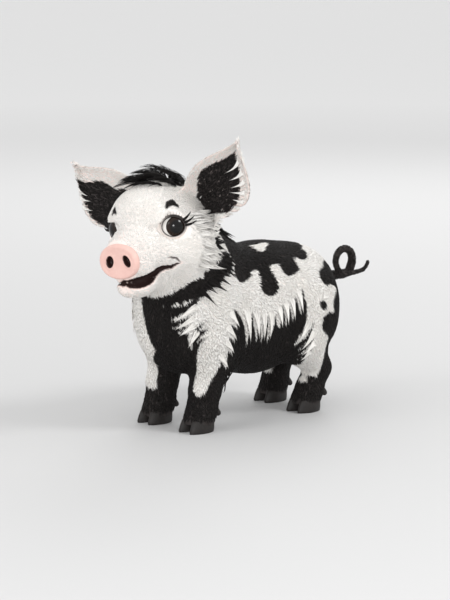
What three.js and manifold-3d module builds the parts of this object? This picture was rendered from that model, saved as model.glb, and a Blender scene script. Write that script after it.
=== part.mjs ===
// A young piebald pig standing still on its four feet, life size, as a museum model.
//
// Millimetres, +Z up. The pig faces -Y, its left side is +X, and the floor is z = 0. Its flesh is one
// smooth field of blended blobs and limbs, meshed piece by piece and parted with thin cuts, so that
// neighbours meet face to face. Eyes, hooves and dewclaws are pieces of their own, and locks of hair are
// fused to the flesh that they grow from.

import * as THREE from "three";
import { mergeVertices } from "three/addons/utils/BufferGeometryUtils.js";
import Module from "manifold-3d";

const wasm = await Module();
wasm.setup();

// ---- Driving dimensions -------------------------------------------------------------------------------

const GAP = 0.3; // between pieces that touch

const BACK_Z = 220; // top of the back
const BELLY_Z = 51; // lowest point of the belly
const TRUNK_Z = (BACK_Z + BELLY_Z) / 2;
const TRUNK_HALF_WIDTH = 63;

const FOOT_X = 38; // each foot from the midline
const FORE_Y = -86;
const HIND_Y = 98;
const CORONET_Z = 16.5; // where a hoof meets the leg

const HEAD_AT = [16, -132, 258]; // centre of the braincase
const HEAD_YAW = 10; // turned to its left, degrees
const HEAD_PITCH = 11; // nose down
const HEAD_ROLL = 7; // left side up
const SNOUT_F = 80; // where the nose disc starts, forward of the braincase's centre
const SNOUT_U = -22; // its centre, below the braincase's
const NOSE_DISC = { aside: 3, halfWidth: 29, halfHeight: 22, length: 9 };

const EYE = { at: [41, 21.5, 1], radius: 15, out: 40, up: 3 };
const LIDS = { thickness: 2.6, corner: 0.28, upper: 64, lower: 58, slant: 8 };
const EAR = { length: 110, width: 84, thickness: 3.4, cup: 20 };
const TAIL = { root: [0, 162, 162], radius: 7, tip: 0.36, loop: 19 };

// ---- Materials ----------------------------------------------------------------------------------------

const paint = (color, roughness) => new THREE.MeshStandardMaterial({ color, roughness, metalness: 0 });
const WHITE_COAT = paint(0xe9e2d8, 0.8);
const PINK_SKIN = paint(0xd9a79a, 0.55);
const EAR_SKIN = paint(0x5a4a47, 0.7);
const EYE_DARK = paint(0x2a1a12, 0.1);
const HOOF_HORN = paint(0x3a332e, 0.5);

// ---- Vectors ------------------------------------------------------------------------------------------

const vec = (a) => new THREE.Vector3(a[0], a[1], a[2]);
const lerp = THREE.MathUtils.lerp;
const clamp = THREE.MathUtils.clamp;
const degrees = THREE.MathUtils.degToRad;

// The head's own frame: x to its left, y forward, z up.
const HEAD = (() => {
  const turn = new THREE.Matrix4().makeRotationZ(degrees(HEAD_YAW));
  turn.multiply(new THREE.Matrix4().makeRotationX(degrees(HEAD_PITCH)));
  turn.multiply(new THREE.Matrix4().makeRotationY(degrees(-HEAD_ROLL)));
  const basis = new THREE.Matrix4().makeBasis(vec([1, 0, 0]), vec([0, -1, 0]), vec([0, 0, 1]));
  const place = new THREE.Matrix4().makeTranslation(...HEAD_AT);
  return place.multiply(turn).multiply(basis);
})();
const HEAD_BACK = HEAD.clone().invert();
const toHead = (p) => p.clone().applyMatrix4(HEAD_BACK);
const fromHead = (p) => p.clone().applyMatrix4(HEAD);
const headDirection = (d) => vec(d).applyMatrix4(HEAD).sub(vec(HEAD_AT)).normalize();
const mirrored = (a, side) => [side * a[0], a[1], a[2]];

// ---- The field: negative inside, about the distance to the skin elsewhere -----------------------------

function blend(a, b, k) {
  const h = Math.max(k - Math.abs(a - b), 0) / k;
  return Math.min(a, b) - (h * h * k) / 4;
}

function blobDistance(p, at, r) {
  const x = p.x - at[0];
  const y = p.y - at[1];
  const z = p.z - at[2];
  const near = Math.hypot(x / r[0], y / r[1], z / r[2]);
  const slope = Math.hypot(x / (r[0] * r[0]), y / (r[1] * r[1]), z / (r[2] * r[2]));
  return slope < 1e-9 ? -Math.min(...r) : (near * (near - 1)) / slope;
}

function limbDistance(p, a, b, ra, rb) {
  const along = vec(b).sub(vec(a));
  const from = p.clone().sub(vec(a));
  const t = clamp(from.dot(along) / along.lengthSq(), 0, 1);
  return from.addScaledVector(along, -t).length() - lerp(ra, rb, t);
}

// Blobs of the trunk, right and left alike: centre, radii.
const TRUNK = [
  { name: "ribs", at: [0, -42, TRUNK_Z + 3], r: [61, 88, 78.5] },
  { name: "belly", at: [0, 34, TRUNK_Z - 6], r: [TRUNK_HALF_WIDTH, 90, 78.5] },
  { name: "loin", at: [0, 46, BACK_Z - 56], r: [51, 88, 54] },
  { name: "rump", at: [0, 106, BACK_Z - 71], r: [53, 60, 59] },
  { name: "withers", at: [0, -72, BACK_Z - 43], r: [34, 48, 42] },
  { name: "crest", at: [5, -52, BACK_Z - 20], r: [35, 57, 40] },
  { name: "brisket", at: [0, -90, 118], r: [42, 44, 46] },
  { name: "shoulder", at: [37, -76, 134], r: [28, 40, 58], pair: true },
  { name: "ham", at: [34, 97, 124], r: [32, 52, 56], pair: true },
];
const TRUNK_BLEND = 20;

// Each leg runs through its joints: place, radius there.
const FORELEG = [
  { name: "shoulder", at: [41, -72, 112], r: 26 },
  { name: "elbow", at: [41, -68, 84], r: 23.5 },
  { name: "carpus", at: [39, -78, 50], r: 19.5 },
  { name: "fetlock", at: [FOOT_X, FORE_Y + 4, 27], r: 18.5 },
  { name: "coronet", at: [FOOT_X, FORE_Y - 1, 14], r: 20 },
];
const HINDLEG = [
  { name: "hip", at: [39, 98, 116], r: 33 },
  { name: "stifle", at: [42, 82, 94], r: 29 },
  { name: "hock", at: [39.5, 116, 54], r: 17.4 },
  { name: "fetlock", at: [FOOT_X, HIND_Y + 6, 27], r: 17.2 },
  { name: "coronet", at: [FOOT_X, HIND_Y, 14], r: 19.4 },
];
// How far the foot of each leg is set forward of its square place.
const LEGS = [
  { name: "foreleg_left", joints: FORELEG, side: 1, ahead: 0 },
  { name: "foreleg_right", joints: FORELEG, side: -1, ahead: 1 },
  { name: "hindleg_left", joints: HINDLEG, side: 1, ahead: 2 },
  { name: "hindleg_right", joints: HINDLEG, side: -1, ahead: -15 },
];
const LEG_BLEND = 16;
const SWING_Z = 110; // a leg set forward swings from this height

function jointPlace(leg, joint) {
  const share = clamp((SWING_Z - joint.at[2]) / SWING_Z, 0, 1);
  return [leg.side * joint.at[0], joint.at[1] - leg.ahead * share, joint.at[2]];
}

const NECK = { from: [2, -76, 166], to: [9, -104, 228], radius: [56, 54] };

// Blobs and limbs of the head, in its own frame.
const SKULL = [
  { name: "braincase", at: [0, -2, 4], r: [56, 54, 48] },
  { name: "forehead", at: [0, 22, 18], r: [42, 28, 28] },
  { name: "cheek", at: [35, 6, -22], r: [31, 42, 33], pair: true },
  { name: "jowl", at: [22, -4, -42], r: [28, 38, 25], pair: true },
  { name: "brow", at: [35, 28, 13], r: [14, 12, 8], pair: true },
  { name: "lip", at: [14.5, 57, -33], r: [13, 23, 11], pair: true },
  { name: "chin", at: [10, 62, -58], r: [14, 19, 13], pair: true },
];
const MUZZLE = { from: [0, 28, -13], to: [0, SNOUT_F + 2, SNOUT_U - 0.5], radius: [36, 23] };
const JAW = { from: [0, 8, -50], to: [0, 68, -57], radius: [26, 14] };
const HEAD_BLEND = 14;
const NECK_BLEND = 26;

function trunkField(p) {
  const folded = new THREE.Vector3(Math.abs(p.x), p.y, p.z);
  return TRUNK.reduce((d, blob) => blend(d, blobDistance(folded, blob.at, blob.r), TRUNK_BLEND), 1e3);
}

function legField(p, leg) {
  let d = 1e3;
  for (let i = 1; i < leg.joints.length; i++) {
    const [a, b] = [leg.joints[i - 1], leg.joints[i]];
    d = blend(d, limbDistance(p, jointPlace(leg, a), jointPlace(leg, b), a.r, b.r), 6);
  }
  return d;
}

function headField(p) {
  const local = toHead(p);
  local.x = Math.abs(local.x);
  let d = SKULL.reduce((e, blob) => blend(e, blobDistance(local, blob.at, blob.r), HEAD_BLEND), 1e3);
  d = blend(d, limbDistance(local, MUZZLE.from, MUZZLE.to, ...MUZZLE.radius), HEAD_BLEND);
  return blend(d, limbDistance(local, JAW.from, JAW.to, ...JAW.radius), HEAD_BLEND * 0.7);
}

function fleshField(p) {
  let d = trunkField(p);
  for (const leg of LEGS) {
    if (p.z < 170 && leg.side * p.x > -20) d = blend(d, legField(p, leg), LEG_BLEND);
  }
  if (p.y > -20) return d;
  d = blend(d, limbDistance(p, NECK.from, NECK.to, ...NECK.radius), NECK_BLEND);
  return blend(d, headField(p), NECK_BLEND);
}

function slopeOf(field, p) {
  const step = 0.05;
  const at = (x, y, z) => field(new THREE.Vector3(p.x + x, p.y + y, p.z + z));
  return new THREE.Vector3(
    at(step, 0, 0) - at(-step, 0, 0),
    at(0, step, 0) - at(0, -step, 0),
    at(0, 0, step) - at(0, 0, -step),
  ).divideScalar(2 * step);
}

// The point of the surface next to p, found in a few Newton steps, each no longer than most.
function onSurface(field, p, steps, most) {
  for (let i = 0; i < steps; i++) {
    const slope = slopeOf(field, p);
    const move = clamp(field(p) / Math.max(slope.lengthSq(), 0.2), -most, most);
    p.addScaledVector(slope, -move);
  }
  return p;
}

// ---- From a field to a solid: surface nets ------------------------------------------------------------

function signedVolume(g) {
  const corner = [0, 1, 2].map(() => new THREE.Vector3());
  let sum = 0;
  for (let i = 0; i < g.index.count; i += 3) {
    corner.forEach((c, k) => c.fromBufferAttribute(g.attributes.position, g.index.getX(i + k)));
    sum += corner[0].dot(corner[1].cross(corner[2])) / 6;
  }
  return sum;
}

// The closed solid of a geometry, placed by a matrix, with its faces outwards.
function solidOf(geometry, matrix) {
  const g = geometry.clone();
  g.deleteAttribute("normal");
  g.deleteAttribute("uv");
  if (matrix) g.applyMatrix4(matrix);
  const merged = mergeVertices(g, 1e-4);
  const triVerts = new Uint32Array(merged.index.array);
  if (signedVolume(merged) < 0) triVerts.reverse();
  const mesh = new wasm.Mesh({ numProp: 3, vertProperties: merged.attributes.position.array, triVerts });
  return new wasm.Manifold(mesh);
}

function geometryFrom(points, faces) {
  const g = new THREE.BufferGeometry();
  g.setAttribute("position", new THREE.Float32BufferAttribute(points, 3));
  g.setIndex(faces);
  return g;
}

// Meshes the zero level of a field inside a box: one vertex in each cell that the surface crosses, moved
// on to the surface, and one quad for each grid edge that it crosses.
function netOf(field, box, cell) {
  const size = [0, 1, 2].map((k) => Math.ceil((box.max[k] - box.min[k]) / cell[k]) + 4);
  const corner = (i, j, k) =>
    new THREE.Vector3(
      box.min[0] + (i - 1.5) * cell[0],
      box.min[1] + (j - 1.5) * cell[1],
      box.min[2] + (k - 1.5) * cell[2],
    );
  const walled = (p) => {
    const wall = Math.max(
      box.min[0] - p.x, p.x - box.max[0],
      box.min[1] - p.y, p.y - box.max[1],
      box.min[2] - p.z, p.z - box.max[2],
    );
    return Math.max(field(p), wall);
  };
  const index = (i, j, k) => (i * size[1] + j) * size[2] + k;
  const value = new Float64Array(size[0] * size[1] * size[2]);
  for (let i = 0; i < size[0]; i++)
    for (let j = 0; j < size[1]; j++)
      for (let k = 0; k < size[2]; k++) value[index(i, j, k)] = walled(corner(i, j, k));

  const steps = [[1, 0, 0], [0, 1, 0], [0, 0, 1]];
  const vertexOf = new Map();
  const points = [];
  for (let i = 0; i < size[0] - 1; i++)
    for (let j = 0; j < size[1] - 1; j++)
      for (let k = 0; k < size[2] - 1; k++) {
        const sum = new THREE.Vector3();
        let crossings = 0;
        for (let c = 0; c < 8; c++) {
          const at = [i + (c & 1), j + ((c >> 1) & 1), k + (c >> 2)];
          const a = value[index(...at)];
          steps.forEach((step, axis) => {
            if ((c >> axis) & 1) return;
            const to = [at[0] + step[0], at[1] + step[1], at[2] + step[2]];
            const b = value[index(...to)];
            if (a < 0 === b < 0) return;
            sum.add(corner(...at).lerp(corner(...to), a / (a - b)));
            crossings += 1;
          });
        }
        if (!crossings) continue;
        const p = onSurface(walled, sum.divideScalar(crossings), 2, 0.3 * Math.min(...cell));
        vertexOf.set(index(i, j, k), points.length / 3);
        points.push(p.x, p.y, p.z);
      }

  const faces = [];
  const pointAt = (v) => new THREE.Vector3().fromArray(points, 3 * v);
  for (let i = 1; i < size[0] - 1; i++)
    for (let j = 1; j < size[1] - 1; j++)
      for (let k = 1; k < size[2] - 1; k++)
        steps.forEach((step, axis) => {
          const a = value[index(i, j, k)];
          const b = value[index(i + step[0], j + step[1], k + step[2])];
          if (a < 0 === b < 0) return;
          const [u, v] = [steps[(axis + 1) % 3], steps[(axis + 2) % 3]];
          const ring = [[0, 0], [1, 0], [1, 1], [0, 1]].map(([s, t]) =>
            vertexOf.get(index(...[i, j, k].map((n, at) => n - s * u[at] - t * v[at]))),
          );
          if (!(a < 0)) ring.reverse();
          const even = pointAt(ring[0]).distanceTo(pointAt(ring[2]));
          const odd = pointAt(ring[1]).distanceTo(pointAt(ring[3]));
          if (even <= odd) faces.push(ring[0], ring[1], ring[2], ring[0], ring[2], ring[3]);
          else faces.push(ring[1], ring[2], ring[3], ring[1], ring[3], ring[0]);
        });
  return solidOf(geometryFrom(points, faces));
}

// ---- Cuts ---------------------------------------------------------------------------------------------

const HUGE = 1200;

// Everything on the side of a plane that its normal points to.
function halfSpace(point, normal, offset = 0) {
  const n = normal.clone().normalize();
  const turn = new THREE.Quaternion().setFromUnitVectors(vec([0, 0, 1]), n);
  const at = point.clone().addScaledVector(n, HUGE / 2 + offset);
  const matrix = new THREE.Matrix4().compose(at, turn, vec([1, 1, 1]));
  return solidOf(new THREE.BoxGeometry(HUGE, HUGE, HUGE), matrix);
}

// The space on the inner side of every plane, taken in by inset or, where that is negative, widened.
function wedge(planes, inset) {
  return planes
    .map((plane) => halfSpace(plane.point, plane.normal, inset))
    .reduce((a, b) => a.intersect(b));
}

function largest(made) {
  return made.decompose().sort((a, b) => b.volume() - a.volume())[0];
}

const CUTS = {
  neckFromTrunk: { point: vec([0, -66, 217]), normal: vec([0, -0.74, 0.67]) },
  nape: { point: fromHead(vec([0, -35, 0])), normal: headDirection([0, 1, -0.12]) },
  throat: { point: fromHead(vec([0, -5, -64])), normal: headDirection([0, 0.6, 0.8]) },
  jaw: { point: fromHead(vec([0, 66, -49])), normal: headDirection([0, 0.12, -1]) },
  snout: { point: fromHead(vec([0, SNOUT_F, 0])), normal: headDirection([0, 1, 0.05]) },
  tail: { point: vec(TAIL.root), normal: vec([0, 0.9, 0.3]) },
};
const HEAD_PLANES = [CUTS.nape, CUTS.throat];
const reversed = (plane) => ({ point: plane.point, normal: plane.normal.clone().negate() });

function legPlanes(leg) {
  const { side } = leg;
  const fore = leg.joints === FORELEG;
  return [
    { point: vec([side * 40, 0, fore ? 92 : 108]), normal: vec([side * 0.45, 0, -0.9]) },
    { point: vec([side * 8, 0, 0]), normal: vec([side, 0, 0]) },
    fore
      ? { point: vec([0, -38, 80]), normal: vec([0, -0.95, -0.3]) }
      : { point: vec([0, 56, 80]), normal: vec([0, 0.95, -0.3]) },
    { point: vec([0, 0, CORONET_Z]), normal: vec([0, 0, 1]) },
  ];
}

// ---- Sweeps: locks of hair and the tail ---------------------------------------------------------------

// A closed tube along centre(t), t from 0 to 1. Its section has half-width wide(t) along side(t) and
// half-thickness thick(t) across that, and it ends in a point.
function sweep(centre, side, wide, thick, steps, sides) {
  const points = [];
  const faces = [];
  for (let i = 0; i < steps; i++) {
    const t = i / steps;
    const c = centre(t);
    const along = centre(t + 1e-3).sub(centre(t - 1e-3)).normalize();
    const s = side(t).clone();
    s.addScaledVector(along, -s.dot(along)).normalize();
    const n = new THREE.Vector3().crossVectors(along, s);
    for (let j = 0; j < sides; j++) {
      const a = (2 * Math.PI * j) / sides;
      const q = c.clone().addScaledVector(s, wide(t) * Math.cos(a));
      q.addScaledVector(n, thick(t) * Math.sin(a));
      points.push(q.x, q.y, q.z);
    }
  }
  const tip = steps * sides;
  points.push(...centre(1).toArray());
  points.push(...centre(0).toArray());
  for (let j = 0; j < sides; j++) {
    const k = (j + 1) % sides;
    for (let i = 0; i < steps - 1; i++) {
      const [a, b] = [i * sides, (i + 1) * sides];
      faces.push(a + j, a + k, b + k, a + j, b + k, b + j);
    }
    const last = (steps - 1) * sides;
    faces.push(last + j, last + k, tip);
    faces.push(k, j, tip + 1);
  }
  return solidOf(geometryFrom(points, faces));
}

// ---- Locks of hair ------------------------------------------------------------------------------------

// Each row of locks grows from the line between two places, next to the skin. Its locks lie along the skin,
// fan out across the row, rise to lift above it on their way and end at stand above it.
// Rows of the head are in its frame. A pair is repeated on the right side.
const LOCK_ROWS = [
  {
    node: "head", from: [-34, -22, 44], to: [36, -24, 43], count: 6,
    lie: [0, 0.75, 0.3], fan: 0.35, length: 36, width: 9.5, lift: 13, stand: 18,
  },
  {
    node: "head", from: [-25, -6, 51], to: [28, -6, 50], count: 4,
    lie: [-0.05, 0.85, 0.1], fan: 0.3, length: 34, width: 9.5, lift: 11, stand: 12,
  },
  {
    node: "head", from: [-16, 10, 50], to: [16, 10, 50], count: 3,
    lie: [0, 0.9, 0], fan: 0.35, length: 30, width: 8.5, lift: 7, stand: 7,
  },
  {
    node: "head", from: [55, 2, 6], to: [52, 2, -48], count: 5,
    lie: [0.15, -0.85, -0.45], fan: 0.25, length: 42, width: 9.5, lift: 7, stand: 8, pair: true,
  },
  {
    node: "neck", from: [12, -97, 308], to: [3, -66, 244], count: 5,
    lie: [0, 0.7, -0.6], fan: 0, length: 38, width: 12, lift: 11, stand: 12,
  },
  {
    node: "torso", from: [4, -52, 226], to: [3, -26, 218], count: 2,
    lie: [0, 0.95, -0.1], fan: 0, length: 36, width: 11, lift: 8, stand: 7,
  },
  {
    node: "torso", from: [50, -97, 170], to: [50, -60, 214], count: 4,
    lie: [0.1, 0.75, -0.6], fan: 0.1, length: 36, width: 9, lift: 6, stand: 6, pair: true,
  },
  {
    node: "torso", from: [47, -112, 162], to: [50, -104, 124], count: 4,
    lie: [-0.5, -0.2, -0.75], fan: 0.15, length: 34, width: 8.5, lift: 5, stand: 5, pair: true,
  },
  {
    node: "torso", from: [62, -62, 146], to: [61, -56, 118], count: 2,
    lie: [0.1, 0.55, -0.75], fan: 0.1, length: 40, width: 9, lift: 5, stand: 6, pair: true,
  },
  {
    node: "torso", from: [63, -26, 152], to: [61, 66, 178], count: 6,
    lie: [0, -0.2, -1], fan: 0.05, length: 56, width: 11, lift: 5, stand: 5, pair: true,
  },
  {
    node: "foreleg", from: [58, -58, 88], to: [52, -64, 72], count: 2,
    lie: [0.05, 0.5, -0.8], fan: 0.1, length: 28, width: 7.5, lift: 5, stand: 6, pair: true,
  },
  {
    node: "hindleg", from: [70, 82, 118], to: [64, 84, 86], count: 3,
    lie: [0, -0.7, -0.6], fan: 0.1, length: 38, width: 9, lift: 5, stand: 6, pair: true,
  },
];
const LOCK = { sink: 5, behind: 0.2, thickness: 2.2, steps: 4, vary: 0.15 };

// Numbers between -1 and 1 that are the same in every run.
function seeded(seed) {
  let state = seed;
  return () => {
    state = (Math.imul(state, 1664525) + 1013904223) >>> 0;
    return state / 2 ** 31 - 1;
  };
}

function lock(root, lie, row, vary) {
  const skin = onSurface(fleshField, root.clone(), 6, 6);
  const out = slopeOf(fleshField, skin).normalize();
  const along = lie.clone().addScaledVector(out, -lie.dot(out)).normalize();
  const across = new THREE.Vector3().crossVectors(out, along);
  const length = row.length * (1 + LOCK.vary * vary());
  const loft = 1 + 2 * LOCK.vary * vary();
  const above = (reach, height) => {
    const below = onSurface(fleshField, skin.clone().addScaledVector(along, reach * length), 5, 8);
    return below.addScaledVector(slopeOf(fleshField, below).normalize(), height * loft);
  };
  const start = skin.clone().addScaledVector(out, -LOCK.sink).addScaledVector(along, -LOCK.behind * length);
  const end = above(0.95, row.stand).addScaledVector(across, 3 * vary());
  const line = new THREE.QuadraticBezierCurve3(start, above(0.45, row.lift), end);
  const wide = (t) => row.width * (0.73 + 1.73 * t) * (1 - t) ** 0.7;
  const thick = (t) => LOCK.thickness * (1 - 0.7 * t);
  return sweep((t) => line.getPoint(clamp(t, 0, 1)), () => across, wide, thick, LOCK.steps, 4);
}

function locksOf(node, side) {
  const solids = [];
  LOCK_ROWS.forEach((row, rowIndex) => {
    if (row.node !== node) return;
    for (const s of row.pair ? [1, -1] : [1]) {
      if (side && s !== side) continue;
      const vary = seeded(101 + 17 * rowIndex);
      const across = vec(mirrored(row.to, s)).sub(vec(mirrored(row.from, s))).normalize();
      for (let i = 0; i < row.count; i++) {
        const t = (i + 0.5 + 0.15 * vary()) / row.count;
        const place = vec(mirrored(row.from, s)).lerp(vec(mirrored(row.to, s)), t);
        const lie = vec(mirrored(row.lie, s)).addScaledVector(across, row.fan * (2 * t - 1));
        const inHead = node === "head";
        const root = inHead ? fromHead(place) : place;
        solids.push(lock(root, inHead ? headDirection(lie.toArray()) : lie.normalize(), row, vary));
      }
    }
  });
  return solids.reduce((a, b) => a.add(b));
}

// ---- Pieces of the body -------------------------------------------------------------------------------

function eyeFrame(side) {
  const { at, out, up } = EYE;
  const [turn, rise] = [degrees(out), degrees(up)];
  const gaze = vec([side * Math.sin(turn), Math.cos(turn), Math.sin(rise)]).normalize();
  const across = new THREE.Vector3().crossVectors(gaze, vec([0, 0, 1])).normalize();
  const above = new THREE.Vector3().crossVectors(across, gaze).normalize();
  const tilt = new THREE.Matrix4().makeRotationAxis(gaze, degrees(side * LIDS.slant));
  const frame = new THREE.Matrix4().makeBasis(across, gaze, above).premultiply(tilt);
  frame.setPosition(side * at[0], at[1], at[2]);
  return new THREE.Matrix4().multiplyMatrices(HEAD, frame);
}

// A ball about an eye's centre, with its poles on the line of sight.
function eyeBall(side, radius) {
  const ball = new THREE.SphereGeometry(radius, 16, 10);
  return solidOf(ball, eyeFrame(side));
}

// The slit between the lids: the wedge between two planes that meet in the line through the eye's corners.
function eyeSlit(side, reach) {
  const frame = eyeFrame(side);
  const corners = vec([0, LIDS.corner * EYE.radius, 0]).applyMatrix4(frame);
  const edge = (angle, way) => {
    const normal = vec([0, Math.sin(degrees(angle)), -way * Math.cos(degrees(angle))]);
    return halfSpace(corners, normal.transformDirection(frame));
  };
  const front = new THREE.SphereGeometry(reach, 16, 11);
  const ahead = new THREE.Matrix4().makeTranslation(0, EYE.radius * 0.8, 0).premultiply(frame);
  return solidOf(front, ahead).intersect(edge(LIDS.upper, 1)).intersect(edge(LIDS.lower, -1));
}

// The edge of the upper lip, in the head's frame, from the front back to the corner of the mouth.
const LIP_LINE = [
  [0, 83, -40], [10, 79, -41.5], [17, 70, -43], [23, 60, -45],
  [29, 50, -46.5], [34, 43, -45], [40, 36, -41], [43, 32, -37.5],
];
const MOUTH = { least: 1, most: 8, widest: 0.25, spread: 0.37, depth: 1.2 }; // half heights of the gap

// The mouth is open in a smile: widest a quarter of the way back, and narrow at its corner.
function mouthGap(side) {
  const guide = LIP_LINE.map((a) => fromHead(vec(mirrored(a, side))));
  const edge = new THREE.CatmullRomCurve3(guide.map((p) => onSurface(fleshField, p, 4, 4)));
  const open = (t) => {
    const s = 1 + (t - MOUTH.widest) / MOUTH.spread;
    return Math.max(MOUTH.least, MOUTH.most * (s * Math.exp(1 - s)) ** 3);
  };
  const down = headDirection([0, 0, -1]);
  const line = (t) => edge.getPoint(clamp(t, 0, 1)).addScaledVector(down, open(clamp(t, 0, 1)) - 1);
  return sweep(line, () => headDirection([0, 0, 1]), open, (t) => MOUTH.depth * open(t), 16, 6);
}

// An ear is a cupped leaf: u runs from root to tip, v from edge to edge, each edge at -1 or 1.
const EAR_ROOT = [50, -35, 14];
const EAR_POSES = {
  left: { along: [0.7, 0.06, 0.7], face: [0.26, 0.95, -0.15], bow: 8 },
  right: { along: [0.83, 0, 0.56], face: [0, 0.96, 0.28], bow: 14 },
}; // the way that each ear points, the way that its cup opens, and how far it bends aside
const EAR_ROWS = 11;
const EAR_COLUMNS = 8;

const earPose = (side) => (side > 0 ? EAR_POSES.left : EAR_POSES.right);

function earFrame(side) {
  const pose = earPose(side);
  const along = vec(mirrored(pose.along, side)).normalize();
  const face = vec(mirrored(pose.face, side));
  face.addScaledVector(along, -face.dot(along)).normalize();
  const across = new THREE.Vector3().crossVectors(along, face);
  const frame = new THREE.Matrix4().makeBasis(across, face, along);
  frame.setPosition(side * EAR_ROOT[0], EAR_ROOT[1], EAR_ROOT[2]);
  return new THREE.Matrix4().multiplyMatrices(HEAD, frame);
}

function earHalfWidth(u) {
  const widest = 0.34;
  if (u < widest) return (EAR.width / 2) * lerp(0.74, 1, Math.sin((Math.PI / 2) * clamp(u / widest, 0, 1)));
  return (EAR.width / 2) * Math.cos((Math.PI / 2) * ((u - widest) / (1 - widest))) ** 1.45;
}

// A point of the leaf's middle surface, in the ear's frame. The outer edge is on the side's own side.
function earPoint(u, v, side) {
  const half = Math.max(earHalfWidth(clamp(u, -1, 1)), 1);
  const bow = side * earPose(side).bow * Math.sin(Math.PI * clamp(u, 0, 1));
  const cup = EAR.cup * v * v * (1 - 0.62 * u);
  const curl = 12 * u * u * u - 7 * u;
  return new THREE.Vector3(-bow + half * v * (1 - 0.16 * (1 - u) * v * v), cup + curl, EAR.length * u);
}

// The whole leaf as a solid, larger by grow on every side.
function earLeaf(side, grow) {
  const points = [];
  const faces = [];
  const start = -0.16;
  const end = 1 + grow / EAR.length;
  const edge = 1 + (2 * grow) / EAR.width;
  const across = EAR_COLUMNS + 1;
  const frame = earFrame(side);
  for (const face of [1, -1]) {
    for (let i = 0; i <= EAR_ROWS; i++) {
      for (let j = 0; j <= EAR_COLUMNS; j++) {
        const u = lerp(start, end, i / EAR_ROWS);
        const v = lerp(-edge, edge, j / EAR_COLUMNS);
        const du = earPoint(u + 0.01, v, side).sub(earPoint(u - 0.01, v, side));
        const dv = earPoint(u, v + 0.01, side).sub(earPoint(u, v - 0.01, side));
        const normal = new THREE.Vector3().crossVectors(du, dv).normalize();
        const thick = EAR.thickness * lerp(1, 0.45, Math.abs(v) ** 3) * lerp(1, 0.6, clamp(u, 0, 1));
        const p = earPoint(u, v, side).addScaledVector(normal, face * (thick / 2 + grow));
        p.applyMatrix4(frame);
        points.push(p.x, p.y, p.z);
      }
    }
  }
  const sheet = (EAR_ROWS + 1) * across;
  const quad = (a, b, c, d) => faces.push(a, b, c, a, c, d);
  for (let i = 0; i < EAR_ROWS; i++)
    for (let j = 0; j < EAR_COLUMNS; j++) {
      const [a, b, d] = [i * across + j, i * across + j + 1, (i + 1) * across + j];
      const c = d + 1;
      faces.push(a, c, b, a, d, c);
      faces.push(sheet + a, sheet + b, sheet + c, sheet + a, sheet + c, sheet + d);
    }
  for (let i = 0; i < EAR_ROWS; i++) {
    const [a, b] = [i * across, (i + 1) * across];
    quad(a, sheet + a, sheet + b, b);
    quad(b + EAR_COLUMNS, sheet + b + EAR_COLUMNS, sheet + a + EAR_COLUMNS, a + EAR_COLUMNS);
  }
  const top = EAR_ROWS * across;
  for (let j = 0; j < EAR_COLUMNS; j++) {
    quad(j + 1, sheet + j + 1, sheet + j, j);
    quad(top + j, sheet + top + j, sheet + top + j + 1, top + j + 1);
  }
  return solidOf(geometryFrom(points, faces));
}

// Radius and height of the nose disc's rim, as shares of its size.
const DISC_PROFILE = [
  [0, -1.2], [0.8, -1.2], [0.9, 0], [1, 0.35], [1, 0.7], [0.93, 0.93], [0.8, 1], [0, 1.02],
];
const NOSTRIL = { x: 11.8, rise: 1, depth: 5.5, size: [4.6, 7, 6.8], slant: 22 };

// The flat disc of the nose, with two nostrils, leaning a little back at the top.
function snout() {
  const { halfWidth, halfHeight, length } = NOSE_DISC;
  const disc = new THREE.LatheGeometry(DISC_PROFILE.map(([r, h]) => new THREE.Vector2(r, h)), 24);
  const place = new THREE.Matrix4().makeScale(halfWidth, length, halfHeight);
  place.premultiply(new THREE.Matrix4().makeRotationX(-degrees(3)));
  place.setPosition(NOSE_DISC.aside, SNOUT_F + 1, SNOUT_U);
  let made = solidOf(disc, place.premultiply(HEAD));
  for (const side of [1, -1]) {
    const pit = new THREE.SphereGeometry(1, 12, 8);
    const hole = new THREE.Matrix4().makeScale(...NOSTRIL.size);
    hole.premultiply(new THREE.Matrix4().makeRotationY(side * degrees(NOSTRIL.slant)));
    const x = NOSE_DISC.aside + side * NOSTRIL.x;
    hole.setPosition(x, SNOUT_F + length + 7 - NOSTRIL.depth, SNOUT_U + NOSTRIL.rise);
    made = made.subtract(solidOf(pit, hole.premultiply(HEAD)));
  }
  return made.intersect(halfSpace(CUTS.snout.point, CUTS.snout.normal, GAP / 2));
}

// The tail leaves the rump, turns one loop and flicks up at the tip.
function tailLine() {
  const [x, y, z] = TAIL.root;
  const r = TAIL.loop;
  const points = [vec([x, y - 6, z - 1]), vec([x, y + 6, z - 1])];
  for (let turn = -60; turn <= 290; turn += 35) {
    const a = degrees(turn);
    const shrink = lerp(1, 0.78, (turn + 60) / 350);
    const drift = lerp(0, 15, (turn + 60) / 350);
    const [back, up] = [r * shrink * 1.1 * Math.cos(a), r * shrink * Math.sin(a)];
    points.push(vec([x + drift, y + 33 + back, z + 15 + up]));
  }
  points.push(vec([x + 16, y + 50, z + 2]), vec([x + 17, y + 62, z + 5]), vec([x + 16, y + 70, z + 15]));
  return new THREE.CatmullRomCurve3(points, false, "centripetal");
}

function tail() {
  const line = tailLine();
  const radius = (t) => TAIL.radius * lerp(1, TAIL.tip, clamp(t, 0, 1) ** 1.2);
  const tube = sweep((t) => line.getPoint(clamp(t, 0, 1)), () => vec([1, 0.01, 0]), radius, radius, 40, 7);
  return tube.intersect(halfSpace(CUTS.tail.point, CUTS.tail.normal, GAP / 2));
}

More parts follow.
